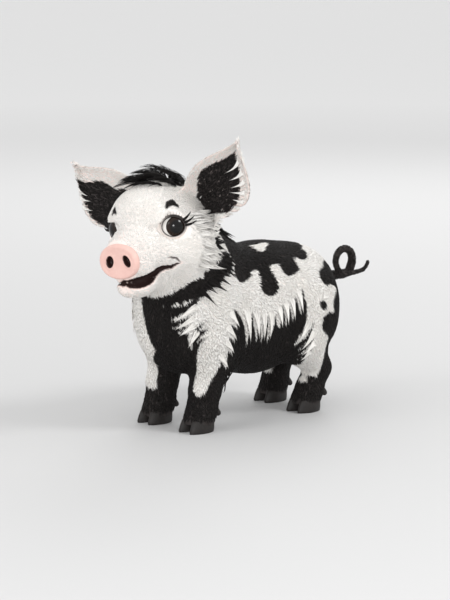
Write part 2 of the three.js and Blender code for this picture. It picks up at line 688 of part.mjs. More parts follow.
// A claw of a cloven foot: a D-shaped wall that leans back from its toe, flat on the floor.
const CLAW = {
  halfWidth: 10.3, halfLength: 20, height: CORONET_Z - GAP, cleft: 2, flat: 0.72, splay: 4, points: 12,
};
const CLAW_LEVELS = [
  { z: 0, grow: 0.95, back: 0 },
  { z: 0.12, grow: 1, back: 0 },
  { z: 0.6, grow: 0.95, back: 1.6 },
  { z: 1, grow: 0.86, back: 3.4 },
];

function claw(leg, way) {
  const foot = jointPlace(leg, leg.joints[leg.joints.length - 1]);
  const centre = [foot[0] + way * (CLAW.halfWidth * CLAW.flat + CLAW.cleft / 2), foot[1] - 4];
  const points = [];
  const faces = [];
  for (const { z, grow, back } of CLAW_LEVELS)
    for (let j = 0; j < CLAW.points; j++) {
      const a = (2 * Math.PI * j) / CLAW.points;
      const toe = Math.max(-Math.sin(a), 0);
      const inner = Math.cos(a) < 0 ? CLAW.flat : 1;
      const x = way * CLAW.halfWidth * grow * Math.cos(a) * inner * (1 - 0.34 * toe * toe);
      const y = CLAW.halfLength * grow * Math.sin(a) + back;
      const turn = degrees(-way * CLAW.splay);
      points.push(centre[0] + x * Math.cos(turn) + y * Math.sin(turn));
      points.push(centre[1] - x * Math.sin(turn) + y * Math.cos(turn));
      points.push(z * CLAW.height);
    }
  const rows = CLAW_LEVELS.length;
  const n = CLAW.points;
  for (let i = 0; i < rows - 1; i++)
    for (let j = 0; j < n; j++) {
      const [a, b] = [i * n + j, i * n + ((j + 1) % n)];
      faces.push(a, b, b + n, a, b + n, a + n);
    }
  for (let j = 1; j < n - 1; j++) {
    faces.push(0, j + 1, j);
    faces.push((rows - 1) * n, (rows - 1) * n + j, (rows - 1) * n + j + 1);
  }
  return solidOf(geometryFrom(points, faces));
}

// A dewclaw: a short horn cone behind the fetlock, clear of the floor.
function dewclaw(leg, way, legAround) {
  const fetlock = vec(jointPlace(leg, leg.joints[leg.joints.length - 2]));
  const root = fetlock.clone().add(vec([way * 8, 11, 1]));
  const tip = fetlock.clone().add(vec([way * 10, 20, -9]));
  const radius = (t) => 5 * (1 - 0.5 * t * t);
  const cone = sweep((t) => root.clone().lerp(tip, t), () => vec([1, 0, 0]), radius, radius, 3, 7);
  return largest(cone.subtract(legAround));
}

// ---- Assembly -----------------------------------------------------------------------------------------

const FLATNESS = 0.07; // how far thinning may move the surface

// Merges each vertex that a cut or a union left into a neighbour that lies, within FLATNESS, in every
// plane that meets at it, where the body stays closed and no face turns over.
function thinned(points, faces) {
  const at = points.map(vec);
  const crossOf = (f) => {
    const [a, b, c] = f.map((v) => at[v]);
    return b.clone().sub(a).cross(c.clone().sub(a));
  };
  const planes = at.map(() => []);
  for (const f of faces) {
    const cross = crossOf(f);
    if (cross.length() < 1e-4) continue;
    const plane = new THREE.Plane().setFromNormalAndCoplanarPoint(cross.normalize(), at[f[0]]);
    f.forEach((v) => planes[v].push(plane));
  }
  let kept = faces;
  for (let changed = true; changed; ) {
    changed = false;
    const fans = at.map(() => []);
    kept.forEach((f) => f.forEach((v) => fans[v].push(f)));
    const rings = fans.map((fan, v) => new Set(fan.flat().filter((w) => w !== v)));
    const canMerge = (b, a) => {
      if (!planes[b].every((plane) => Math.abs(plane.distanceToPoint(at[a])) < FLATNESS)) return false;
      if ([...rings[b]].filter((v) => rings[a].has(v)).length !== 2) return false;
      return fans[b].every((f) => {
        if (f.includes(a)) return true;
        const [before, after] = [crossOf(f), crossOf(f.map((v) => (v === b ? a : v)))];
        return after.length() > 1e-3 && after.dot(before) >= 0.5 * after.length() * before.length();
      });
    };
    const busy = new Set();
    const moved = new Map();
    for (let b = 0; b < at.length; b++) {
      const ring = [...rings[b]];
      if (!ring.length || busy.has(b) || ring.some((v) => busy.has(v))) continue;
      ring.sort((u, v) => at[u].distanceTo(at[b]) - at[v].distanceTo(at[b]));
      const a = ring.find((v) => canMerge(b, v));
      if (a === undefined) continue;
      moved.set(b, a);
      planes[a].push(...planes[b]);
      [b, ...ring, ...rings[a]].forEach((v) => busy.add(v));
      changed = true;
    }
    kept = kept.map((f) => f.map((v) => moved.get(v) ?? v)).filter((f) => new Set(f).size === 3);
  }
  return kept;
}

const pig = new THREE.Group();
pig.name = "pig";

function add(name, made, material) {
  const mesh = made.getMesh();
  const points = [];
  for (let i = 0; i < mesh.numVert; i++)
    points.push([...mesh.vertProperties.subarray(i * mesh.numProp, i * mesh.numProp + 3)]);
  const faces = [];
  for (let i = 0; i < mesh.numTri; i++) faces.push([...mesh.triVerts.subarray(3 * i, 3 * i + 3)]);
  const shape = geometryFrom(points.flat(), thinned(points, faces).flat());
  shape.computeVertexNormals();
  const part = new THREE.Mesh(shape, material);
  part.name = name;
  pig.add(part);
  return made;
}

const SIDES = [["left", 1], ["right", -1]];

// The flesh a little swollen, in the same boxes and cells, to keep other pieces clear of it.
const CLEAR = GAP + 0.1;
const swollen = (box, cell) => netOf((p) => fleshField(p) - CLEAR, box, cell);
const within = (planes) => wedge(planes, -GAP / 2);
const clearOf = (made, rooms) => rooms.reduce((rest, room) => rest.subtract(room), made);

const HEAD_CELL = [6.6, 6.6, 6.6];
const HEAD_BOX = { min: [-72, -252, 160], max: [96, -66, 322] };
const NECK_CELL = [10, 10, 10];
const NECK_BOX = { min: [-76, -200, 100], max: [90, -30, 318] };
const TRUNK_CELL = [10, 13, 10];
const TRUNK_BOX = { min: [-90, -175, 40], max: [90, 175, 262] };
const LEG_CELL = [7.8, 7.8, 8.8];
const legBox = (leg) => {
  const fore = leg.joints === FORELEG;
  const [inner, outer] = [2, 84];
  return {
    min: [leg.side > 0 ? inner : -outer, fore ? -140 : 28, CORONET_Z - 12],
    max: [leg.side > 0 ? outer : -inner, fore ? -14 : 175, fore ? 132 : 150],
  };
};

const swollenHead = swollen(HEAD_BOX, HEAD_CELL);
const headRoom = swollenHead.intersect(within(HEAD_PLANES));
const neckRoom = swollen(NECK_BOX, NECK_CELL)
  .intersect(within([CUTS.neckFromTrunk]))
  .subtract(wedge(HEAD_PLANES, GAP / 2));
const swollenTrunk = swollen(TRUNK_BOX, TRUNK_CELL);
const trunkPlanes = [reversed(CUTS.neckFromTrunk)];
const legRooms = LEGS.map((leg) => swollen(legBox(leg), LEG_CELL).intersect(within(legPlanes(leg))));
const bareTrunkRoom = swollenTrunk.intersect(within(trunkPlanes));
const legWedges = LEGS.map((leg) => wedge(legPlanes(leg).slice(0, 3), GAP / 2));
const trunkRoom = legWedges.reduce((room, around) => room.subtract(around), bareTrunkRoom);

// The head, cut from the neck, and its jaw and nose disc cut from it.
const headFlesh = netOf(fleshField, HEAD_BOX, HEAD_CELL);
let skull = headFlesh;
for (const [, side] of SIDES) {
  skull = skull.add(eyeBall(side, EYE.radius + LIDS.thickness));
  skull = skull.subtract(eyeSlit(side, EYE.radius + 1));
  skull = skull.subtract(eyeBall(side, EYE.radius + GAP));
  skull = skull.subtract(mouthGap(side));
}
skull = skull.intersect(wedge(HEAD_PLANES, GAP / 2));
skull = skull.subtract(halfSpace(CUTS.snout.point, CUTS.snout.normal, -GAP / 2));
const jaw = largest(skull.intersect(halfSpace(CUTS.jaw.point, CUTS.jaw.normal, GAP / 2)));
const jawRoom = headRoom.intersect(halfSpace(CUTS.jaw.point, CUTS.jaw.normal, -GAP / 2));
const ears = SIDES.map(([, side]) => largest(earLeaf(side, 0).subtract(swollenHead)));
const earRooms = SIDES.map(([, side]) => earLeaf(side, 2 * GAP));
const face = skull.subtract(halfSpace(CUTS.jaw.point, CUTS.jaw.normal, -GAP / 2));
const headLocks = clearOf(locksOf("head"), [neckRoom, jawRoom, trunkRoom, ...earRooms]);
add("head", largest(face.add(headLocks)), WHITE_COAT);
add("lower_jaw", jaw, WHITE_COAT);
add("snout", snout(), PINK_SKIN);
SIDES.forEach(([word, side], i) => {
  add("ear_" + word, ears[i], EAR_SKIN);
  add("eye_" + word, eyeBall(side, EYE.radius), EYE_DARK);
});

// The neck, between the planes of the head and of the trunk.
const neck = netOf(fleshField, NECK_BOX, NECK_CELL)
  .intersect(halfSpace(CUTS.neckFromTrunk.point, CUTS.neckFromTrunk.normal, GAP / 2))
  .subtract(within(HEAD_PLANES));
const neckLocks = clearOf(locksOf("neck"), [headRoom, trunkRoom, ...earRooms]);
add("neck", largest(neck.add(neckLocks)), WHITE_COAT);

// The trunk, less the legs and the tail.
let trunk = netOf(fleshField, TRUNK_BOX, TRUNK_CELL).intersect(wedge(trunkPlanes, GAP / 2));
for (const leg of LEGS) trunk = trunk.subtract(within(legPlanes(leg).slice(0, 3)));
const trunkLocks = clearOf(locksOf("torso"), [...legRooms, neckRoom]);
add("torso", largest(trunk.add(trunkLocks)), WHITE_COAT);
add("tail", largest(tail().subtract(swollenTrunk)), WHITE_COAT);

// The legs, with their claws and dewclaws.
LEGS.forEach((leg, i) => {
  const flesh = netOf(fleshField, legBox(leg), LEG_CELL).intersect(wedge(legPlanes(leg), GAP / 2));
  const locks = clearOf(locksOf(leg.name.split("_")[0], leg.side), [trunkRoom]);
  add(leg.name, largest(flesh.add(locks)), WHITE_COAT);
  for (const [word, way] of [["outer", leg.side], ["inner", -leg.side]]) {
    add(leg.name + "_claw_" + word, claw(leg, way), HOOF_HORN);
    add(leg.name + "_dewclaw_" + word, dewclaw(leg, way, legRooms[i]), HOOF_HORN);
  }
});

// The origin is the centre of the bottom of the whole pig's box.
const around = new THREE.Box3().setFromObject(pig);
const middle = around.getCenter(new THREE.Vector3());
pig.position.set(-middle.x, -middle.y, -around.min.z);

export default pig;
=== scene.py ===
# A young piebald pig, life size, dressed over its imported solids: one skin with lids, lips and ears, a
# short coat of mesh tufts with longer locks, glossy eyes, a wet nose disc and horn hooves, in a plain
# studio. Shapes are worked out in design millimetres, with the pig facing -Y, and go to metres at the end.
import math

import bpy
import numpy as np
from mathutils import Matrix, Vector


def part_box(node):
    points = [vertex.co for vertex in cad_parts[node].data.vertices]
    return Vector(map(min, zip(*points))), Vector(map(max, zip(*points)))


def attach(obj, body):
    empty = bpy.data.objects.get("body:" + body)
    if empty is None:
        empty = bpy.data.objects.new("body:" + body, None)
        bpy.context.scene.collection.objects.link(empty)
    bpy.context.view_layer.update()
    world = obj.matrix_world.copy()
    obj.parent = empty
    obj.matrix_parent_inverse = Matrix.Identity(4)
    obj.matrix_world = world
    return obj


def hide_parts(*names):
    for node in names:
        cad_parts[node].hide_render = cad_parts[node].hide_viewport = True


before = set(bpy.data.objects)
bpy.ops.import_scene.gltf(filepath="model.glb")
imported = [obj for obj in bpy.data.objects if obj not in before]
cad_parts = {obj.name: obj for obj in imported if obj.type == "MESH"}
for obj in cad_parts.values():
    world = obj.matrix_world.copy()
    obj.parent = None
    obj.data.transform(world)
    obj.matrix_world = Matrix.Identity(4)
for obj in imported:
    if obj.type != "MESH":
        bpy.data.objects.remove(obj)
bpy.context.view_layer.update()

# ---- Driving dimensions, in millimetres and degrees ----------------------------------------------------

BACK_Z = 220.0
BELLY_Z = 51.0
TRUNK_Z = (BACK_Z + BELLY_Z) / 2
TRUNK_HALF_WIDTH = 63.0
FOOT_X = 38.0
FORE_Y = -86.0
HIND_Y = 98.0
CORONET_Z = 16.5
HEAD_AT = np.array([16.0, -132.0, 258.0])
HEAD_YAW, HEAD_PITCH, HEAD_ROLL = 10.0, 11.0, 7.0
SNOUT_F = 80.0
SNOUT_U = -22.0
NOSE_DISC = {"aside": 3.0, "half_width": 29.0, "half_height": 22.0}
EYE = {"at": [41.0, 21.5, 1.0], "radius": 15.0, "out": {1: 37.0, -1: 14.0}, "up": 3.0, "slant": 8.0}
LID = {"half_width": 12.6, "upper": 11.4, "lower": 10.4}
EAR = {"length": 110.0, "width": 84.0, "thickness": 3.4, "cup": 20.0}
EAR_ROOT = [50.0, -35.0, 14.0]
# For the left and the right ear: the way that it points, the way that its cup opens, and its bend aside.
EAR_POSES = {
    1: {"along": [0.7, 0.06, 0.7], "face": [0.26, 0.95, -0.15], "bow": 8.0},
    -1: {"along": [0.83, 0.0, 0.56], "face": [0.0, 0.96, 0.28], "bow": 14.0},
}
TAIL = {"root": [0.0, 162.0, 162.0], "radius": 7.0, "tip": 0.36, "loop": 19.0}
TAIL_LOOP = {"from": -60, "turn": 350, "step": 35, "back": 33.0, "up": 15.0, "aside": 15.0, "closer": 0.22}
TAIL_END = [(16, 50, 2), (17, 62, 5), (16, 70, 15)]  # the places after the loop, from the root
DEPTH = {"body": 1.2, "leg": 1.1, "face": 1.0, "snout": 0.4}

CAMERA = {"azimuth": 47.0, "elevation": 12.0, "distance": 3000.0, "lens": 143.1}
FRAMING = (-6.3, 145.9)  # what the camera looks at, right of and above the design origin
SENSOR = 36.0
SIDES = (1, -1)
SIDE_WORDS = {1: "left", -1: "right"}

rng = np.random.default_rng(20240611)


def unit(v):
    v = np.asarray(v, float)
    return v / np.maximum(np.linalg.norm(v, axis=-1, keepdims=True), 1e-9)


def turn(axis, degrees):
    return np.array(Matrix.Rotation(math.radians(degrees), 3, Vector(axis)))


def mirrored(v, side):
    """A place or direction that is given for the left side, on either side."""
    return np.array([side * v[0], v[1], v[2]], float)


def smoothstep(lo, hi, x):
    t = np.clip((x - lo) / (hi - lo), 0, 1)
    return t * t * (3 - 2 * t)


def circle(count):
    """Angles spread evenly round one turn."""
    return np.linspace(0, 2 * np.pi, count, endpoint=False)


def crossways(along, aside):
    """Two directions across a line and each other."""
    first = unit(np.cross(along, aside))
    return first, np.cross(along, first)


def spun(angle, first, second):
    """The direction at an angle from the first of two directions to the second."""
    return np.cos(angle)[..., None] * first + np.sin(angle)[..., None] * second


# The head's own frame: x to its left, y forward, z up.
HEAD = turn((0, 0, 1), HEAD_YAW) @ turn((1, 0, 0), HEAD_PITCH) @ turn((0, 1, 0), -HEAD_ROLL)
HEAD = HEAD @ np.diag([1.0, -1.0, 1.0])


def to_head(p):
    return (p - HEAD_AT) @ HEAD


def from_head(q):
    return HEAD_AT + np.asarray(q, float) @ HEAD.T


def head_direction(d):
    return unit(np.asarray(d, float) @ HEAD.T)


# The design's place in the frame: an eye is a ball, so its box is centred on it.
EYE_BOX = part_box("eye_left")
SHIFT = np.array((EYE_BOX[0] + EYE_BOX[1]) / 2) * 1000 - from_head(EYE["at"])


def to_frame(p):
    return (np.asarray(p, float) + SHIFT) / 1000


# ---- The flesh's field: negative inside, about the distance elsewhere ----------------------------------

TRUNK = [
    ([0, -42, TRUNK_Z + 3], [61, 88, 78.5]),  # ribs
    ([0, 34, TRUNK_Z - 6], [TRUNK_HALF_WIDTH, 90, 78.5]),  # belly
    ([0, 46, BACK_Z - 56], [51, 88, 54]),  # loin
    ([0, 106, BACK_Z - 71], [53, 60, 59]),  # rump
    ([0, -72, BACK_Z - 43], [34, 48, 42]),  # withers
    ([5, -52, BACK_Z - 20], [35, 57, 40]),  # crest
    ([0, -90, 118], [42, 44, 46]),  # brisket
    ([37, -76, 134], [28, 40, 58]),  # shoulders
    ([34, 97, 124], [32, 52, 56]),  # hams
]
SKULL = [
    ([0, -2, 4], [56, 54, 48]),  # braincase
    ([0, 22, 18], [42, 28, 28]),  # forehead
    ([35, 6, -22], [31, 42, 33]),  # cheeks
    ([22, -4, -42], [28, 38, 25]),  # jowls
    ([35, 28, 13], [14, 12, 8]),  # brows
    ([14.5, 57, -33], [13, 23, 11]),  # lips
    ([10, 62, -58], [14, 19, 13]),  # chin
]
MUZZLE = ([0, 28, -13], [0, SNOUT_F + 2, SNOUT_U - 0.5], 36, 23)
JAW = ([0, 8, -50], [0, 68, -57], 26, 14)
NECK = ([2, -76, 166], [9, -104, 228], 56, 54)
FORELEG = [
    ([41, -72, 112], 26),  # shoulder
    ([41, -68, 84], 23.5),  # elbow
    ([39, -78, 50], 19.5),  # carpus
    ([FOOT_X, FORE_Y + 4, 27], 18.5),  # fetlock
    ([FOOT_X, FORE_Y - 1, 14], 20),  # coronet
]
HINDLEG = [
    ([39, 98, 116], 33),  # hip
    ([42, 82, 94], 29),  # stifle
    ([39.5, 116, 54], 17.4),  # hock
    ([FOOT_X, HIND_Y + 6, 27], 17.2),  # fetlock
    ([FOOT_X, HIND_Y, 14], 19.4),  # coronet
]
# Name, joints, side, and how far the foot is set forward of its square place.
LEGS = [
    ("foreleg_left", FORELEG, 1, 0),
    ("foreleg_right", FORELEG, -1, 1),
    ("hindleg_left", HINDLEG, 1, 2),
    ("hindleg_right", HINDLEG, -1, -15),
]
SWING_Z = 110.0  # a leg is set forward or back only below this
TRUNK_BLEND, LEG_BLEND, JOINT_BLEND = 20, 16, 6
HEAD_BLEND, JAW_BLEND, NECK_BLEND = 14, 9.8, 26
EAR_BLEND, LID_BLEND, HOLLOW_BLEND, LIP_BLEND = 8.0, 7.0, 4.0, 1.6
LEG_TOP = 170.0  # no leg reaches above this
LEG_PAST = -20.0  # nor past the middle by more than this
NECK_BACK = -20.0  # neck and head lie in front of this
HEAD_BOTTOM = 150.0  # and the head above this
FAR = 1e3


def blend(a, b, k):
    """Joins two fields, with a fillet about k wide."""
    h = np.maximum(k - np.abs(a - b), 0) / k
    return np.minimum(a, b) - h * h * k / 4


def carve(a, b, k):
    """Takes the inside of b out of a, with an edge rounded by k."""
    return -blend(-a, b, k)


def blob(p, at, r):
    """About the distance to an ellipsoid."""
    q = p - np.array(at, float)
    r = np.array(r, float)
    near = np.linalg.norm(q / r, axis=-1)
    slope = np.linalg.norm(q / (r * r), axis=-1)
    return near * (near - 1) / np.maximum(slope, 1e-9)


def limb(p, a, b, ra, rb):
    """The distance to a rounded cone from a to b."""
    a = np.array(a, float)
    along = np.array(b, float) - a
    q = p - a
    t = np.clip(q @ along / (along @ along), 0, 1)
    return np.linalg.norm(q - t[:, None] * along, axis=-1) - (ra + (rb - ra) * t)


def folded(p):
    """Points brought over to the left side."""
    return np.column_stack([np.abs(p[:, 0]), p[:, 1], p[:, 2]])


def joint_place(leg, at):
    """Where a leg's joint is: on its side, and set forward more the nearer it is to the ground."""
    side, ahead = leg[2:]
    share = min(max((SWING_Z - at[2]) / SWING_Z, 0), 1)
    return np.array([side * at[0], at[1] - ahead * share, at[2]], float)


def trunk_field(p):
    """Chest, belly, loin and rump, the same on both sides."""
    q = folded(p)
    d = np.full(len(p), FAR)
    for at, r in TRUNK:
        d = blend(d, blob(q, at, r), TRUNK_BLEND)
    return d


def leg_field(p, leg):
    """A chain of rounded cones from joint to joint."""
    joints = leg[1]
    d = np.full(len(p), FAR)
    for (a, ra), (b, rb) in zip(joints, joints[1:]):
        d = blend(d, limb(p, joint_place(leg, a), joint_place(leg, b), ra, rb), JOINT_BLEND)
    return d


def head_field(p):
    """Skull, muzzle and jaw, the same on both sides of the head."""
    q = folded(to_head(p))
    d = np.full(len(p), FAR)
    for at, r in SKULL:
        d = blend(d, blob(q, at, r), HEAD_BLEND)
    d = blend(d, limb(q, *MUZZLE), HEAD_BLEND)
    return blend(d, limb(q, *JAW), JAW_BLEND)


def flesh_field(p):
    """Trunk, legs, neck and head as one form."""
    d = trunk_field(p)
    for leg in LEGS:
        near = (p[:, 2] < LEG_TOP) & (leg[2] * p[:, 0] > LEG_PAST)
        if near.any():
            d[near] = blend(d[near], leg_field(p[near], leg), LEG_BLEND)
    front = p[:, 1] <= NECK_BACK
    if front.any():
        q = p[front]
        e = blend(d[front], limb(q, *NECK), NECK_BLEND)
        d[front] = blend(e, head_field(q), NECK_BLEND)
    return d


# ---- Forms of the skin: ears, mouth, eye sockets, the muzzle's front ------------------------------------


def ear_frame(side):
    along = unit(mirrored(EAR_POSES[side]["along"], side))
    face = mirrored(EAR_POSES[side]["face"], side)
    face = unit(face - (face @ along) * along)
    return np.column_stack([np.cross(along, face), face, along])


def to_ear(q, side):
    return (q - mirrored(EAR_ROOT, side)) @ ear_frame(side)


EAR_WIDEST = 0.34
EAR_PINCH = 0.16  # how much closer its rims are at the root, because the sheet is rolled there
EAR_OPENS = 0.62  # how much flatter the cup is at the tip


def ear_ahead(u, square):
    """How far ahead an ear's sheet is: cupped by the square of v, with its tip bent forward."""
    return EAR["cup"] * square * (1 - EAR_OPENS * u) + 12 * u**3 - 7 * u


def ear_half_width(u):
    low = 0.74 + 0.26 * np.sin(np.pi / 2 * np.clip(u / EAR_WIDEST, 0, 1))
    past = np.clip((u - EAR_WIDEST) / (1 - EAR_WIDEST), 0, 1)
    high = np.cos(np.pi / 2 * past) ** 1.45
    return np.maximum(EAR["width"] / 2 * np.where(u < EAR_WIDEST, low, high), 1.0)


def ear_bow(u, side):
    return side * EAR_POSES[side]["bow"] * np.sin(np.pi * np.clip(u, 0, 1))


def ear_point(u, v, side):
    """The place on an ear's middle sheet, in the head's frame."""
    aside = ear_half_width(u) * v * (1 - EAR_PINCH * (1 - u) * v * v) - ear_bow(u, side)
    local = np.column_stack([aside, ear_ahead(u, v * v), EAR["length"] * u])
    return mirrored(EAR_ROOT, side) + local @ ear_frame(side).T


def ear_coordinates(e, side):
    """From a point in the ear's frame: u from root to tip, v from edge to edge, and the height over it."""
    u = e[:, 2] / EAR["length"]
    w = (e[:, 0] + ear_bow(u, side)) / ear_half_width(u)
    v = w.copy()
    for _ in range(2):
        v = w / np.maximum(1 - EAR_PINCH * (1 - np.clip(u, 0, 1)) * np.minimum(v * v, 1.6), 0.5)
    return u, v, e[:, 1] - ear_ahead(u, np.minimum(v * v, 2))


LEAST_EAR = 2.9  # thinnest that the skin's mesh can carry


def ear_field(q, side):
    """An ear: a thin cupped sheet with a rounded rim."""
    u, v, height = ear_coordinates(to_ear(q, side), side)
    half = ear_half_width(u)
    steep = 2 * EAR["cup"] * np.minimum(np.abs(v), 1.2) * (1 - EAR_OPENS * u) / half
    thick = EAR["thickness"] * (1 - 0.55 * np.minimum(np.abs(v), 1) ** 3) * (1 - 0.4 * np.clip(u, 0, 1))
    sheet = np.abs(height) / np.sqrt(1 + steep * steep) - np.maximum(thick, LEAST_EAR) / 2
    slant = (ear_half_width(u - 0.02) - ear_half_width(u + 0.02)) / (0.04 * EAR["length"])
    rim = (np.abs(v) - 1) * half / np.sqrt(1 + slant * slant)
    ends = np.maximum(-0.16 - u, u - 1) * EAR["length"]
    return carve(carve(sheet, -rim, 2.0), -ends, 2.0)


# The edge of the upper lip, in the head's frame, from the front back to the corner of the mouth.
LIP_LINE = [
    [0, 83, -40], [10, 79, -41.5], [17, 70, -43], [23, 60, -45],
    [29, 50, -46.5], [34, 43, -45], [40, 36, -41], [43, 32, -37.5],
]
MOUTH = {"least": 0.9, "most": 6.4, "widest": 0.28, "before": 0.36, "after": 0.74, "deep": 11.0}


def slope_of(field, p, step=0.2):
    slope = np.empty_like(p)
    for k in range(3):
        e = np.zeros(3)
        e[k] = step
        slope[:, k] = (field(p + e) - field(p - e)) / (2 * step)
    return slope


def on_surface(field, p, steps, most, height=0.0):
    """The points of a field's surface next to p, or at a height over it."""
    p = np.array(p, float)
    for _ in range(steps):
        slope = slope_of(field, p)
        size = np.maximum((slope * slope).sum(1), 0.2)
        move = np.clip((field(p) - height) / size, -most, most)
        p -= move[:, None] * slope
    return p


def curve_through(points, count):
    """Evenly spaced places on a Catmull-Rom curve through the points."""
    p = np.array(points, float)
    p = np.vstack([2 * p[0] - p[1], p, 2 * p[-1] - p[-2]])
    t = np.linspace(0, len(points) - 1, 12 * len(points))
    i = np.minimum(t.astype(int), len(points) - 2)
    s = (t - i)[:, None]
    a, b, c, d = (p[i + k] for k in range(4))
    fine = b + 0.5 * s * (c - a + s * (2 * a - 5 * b + 4 * c - d + s * (3 * (b - c) + d - a)))
    reach = np.concatenate([[0], np.cumsum(np.linalg.norm(np.diff(fine, axis=0), axis=1))])
    even = np.linspace(0, reach[-1], count)
    return np.column_stack([np.interp(even, reach, fine[:, k]) for k in range(3)])


def mouth_line():
    """The middle of the gap between the lips, in the head's frame, and half its height along it."""
    line = to_head(on_surface(flesh_field, from_head(curve_through(LIP_LINE, 40)), 4, 4))
    past = np.linspace(0, 1, len(line)) - MOUTH["widest"]
    past /= np.where(past < 0, MOUTH["before"], MOUTH["after"])
    half = np.maximum(MOUTH["least"], MOUTH["most"] * (1 - past**2))
    line[:, 2] -= half - 1
    return line, half


MOUTH_LINE, MOUTH_HALF = mouth_line()


def mouth_field(q):
    """The gap between the lips, in the folded head frame."""
    d = q[:, None, :] - MOUTH_LINE[None]
    near = (d * d).sum(2).argmin(1)
    d = q - MOUTH_LINE[near]
    half = MOUTH_HALF[near]
    deep = MOUTH["deep"] * half / MOUTH["most"] + 1.5
    flat = np.hypot(d[:, 0], d[:, 1])
    return (np.hypot(d[:, 2] / half, flat / deep) - 1) * half


SMIRK = {"closed": 4.0, "over": 12.0}
# The crease across each corner of the mouth, in the head's frame: place, and half its width there.
CREASE = [
    ([39, 46, -32], 0.6), ([44.5, 43.5, -31.5], 1.3), ([49, 38.5, -34.5], 1.3), ([49.5, 32, -43], 0.6),
]
WRINKLES = {"from": 50.0, "to": 76.0, "pitch": 6.5, "deep": 0.45}


def mouth_gap(q):
    """The gap between the lips on both sides: the smile is on the left, and the right side stays closed."""
    return mouth_field(folded(q)) + SMIRK["closed"] * smoothstep(0, -SMIRK["over"], q[:, 0])


def crease_field(q):
    """The smile's crease, in the folded head frame."""
    d = np.full(len(q), FAR)
    for (a, ra), (b, rb) in zip(CREASE, CREASE[1:]):
        d = np.minimum(d, limb(q, a, b, ra, rb))
    return d


def wrinkled(q):
    """How deep the folds across the top of the muzzle are at each place of the head's frame."""
    along = q[:, 1] + 0.1 * np.abs(q[:, 0])
    start, end = WRINKLES["from"], WRINKLES["to"]
    inside = smoothstep(start, start + 12, along) * smoothstep(end + 6, end, along)
    upper = smoothstep(-40, -20, q[:, 2])
    return WRINKLES["deep"] * inside * upper * (1 - np.cos(2 * np.pi * along / WRINKLES["pitch"]))


def eye_frame(side):
    """An eye's own frame in the head's: across, along its gaze, and up."""
    out, up = math.radians(EYE["out"][side]), math.radians(EYE["up"])
    gaze = unit([side * math.sin(out), math.cos(out), math.sin(up)])
    across = unit(np.cross(gaze, [0, 0, 1]))
    above = np.cross(across, gaze)
    tilt = turn(gaze, side * EYE["slant"])
    return tilt @ np.column_stack([across, gaze, above])


def lid_edge(around):
    """The angle from the gaze to the lid's edge, for an angle around it: 0 is across, 90 degrees up."""
    z = np.where(np.sin(around) > 0, LID["upper"], LID["lower"])
    reach = 1 / np.hypot(np.cos(around) / LID["half_width"], np.sin(around) / z)
    return np.arcsin(np.clip(reach / EYE["radius"], 0, 0.99))


SOCKET = {"wider": math.radians(13), "floor": 6.0, "ceiling": 7.0}


def socket_field(q, side):
    """The opening in front of an eyeball, out to the lids' edge and a little more."""
    e = (q - mirrored(EYE["at"], side)) @ eye_frame(side)
    r = np.linalg.norm(e, axis=1)
    angle = np.arccos(np.clip(e[:, 1] / np.maximum(r, 1e-6), -1, 1))
    edge = lid_edge(np.arctan2(e[:, 2], e[:, 0])) + SOCKET["wider"]
    cone = np.maximum((angle - edge) * r, EYE["radius"] - SOCKET["floor"] - r)
    return np.maximum(cone, r - EYE["radius"] - SOCKET["ceiling"])


# The hollow in front of the left and the right eye, in the head's frame: the places of its ends and their
# radii. The right side's x is mirrored.
HOLLOWS = {1: ([43, 36, 0], [27, 52, 8], 6.0, 2.0), -1: ([42, 34, 4], [17, 58, 13], 9.0, 4.5)}


def hollow_field(q, side):
    a, b, ra, rb = HOLLOWS[side]
    return limb(q, mirrored(a, side), mirrored(b, side), ra, rb)


LID_THICKNESS = 0.9


def eye_swelling(q, side):
    """The lids' flesh: a shell over the eyeball."""
    return np.linalg.norm(q - mirrored(EYE["at"], side), axis=1) - EYE["radius"] - LID_THICKNESS


def skin_depth(p, head):
    """How far the skin lies inside the solids at each place, for the hair to have room."""
    near_head = np.clip(1 - head / 30, 0, 1)
    depth = DEPTH["body"] + (DEPTH["leg"] - DEPTH["body"]) * smoothstep(95, 60, p[:, 2])
    depth = depth + (DEPTH["face"] - depth) * near_head
    ahead = smoothstep(35, 65, to_head(p)[:, 1]) * near_head
    return depth + (DEPTH["snout"] - depth) * ahead


def skin_field(p):
    """The skin: the flesh with ears, lids, sockets, lips and folds, and a flat muzzle for the nose."""
    d = flesh_field(p)
    head = np.full(len(p), FAR)
    front = p[:, 1] < NECK_BACK
    head[front] = head_field(p[front])
    d = d + skin_depth(p, head)
    near = front & (p[:, 2] > HEAD_BOTTOM)
    if not near.any():
        return d
    q = to_head(p[near])
    e = d[near] + wrinkled(q)
    for side in SIDES:
        e = blend(e, ear_field(q, side), EAR_BLEND)
        e = blend(e, eye_swelling(q, side), LID_BLEND)
        e = carve(e, hollow_field(q, side), HOLLOW_BLEND)
        e = np.maximum(e, -socket_field(q, side))
    lips = (q[:, 1] > 0) & (q[:, 2] < 0) & (q[:, 2] > -75)
    gap = np.full(len(q), FAR)
    gap[lips] = np.minimum(mouth_gap(q[lips]), crease_field(folded(q[lips])))
    e = carve(e, gap, LIP_BLEND)
    ahead = q[:, 1] - (SNOUT_F + 3)
    nose = (q[:, 2] > SNOUT_U - 24) & (np.abs(q[:, 0]) < 40)
    e = np.where(nose, np.maximum(e, ahead), e)
    d[near] = e
    return d


# ---- From a field to a mesh: surface nets on a grid that is finer at the head --------------------------


def grid_axis(*zones):
    """Places along an axis, from zones that each have a start, an end and a step."""
    return np.concatenate([np.arange(*zone) for zone in zones])


SKIN_GRID = [
    grid_axis((-136, 142, 1.9)),
    grid_axis((-240, -96, 1.6), (-96, 176, 2.8)),
    grid_axis((8, 168, 2.7), (168, 380, 1.7)),
]
BLOCK = 4


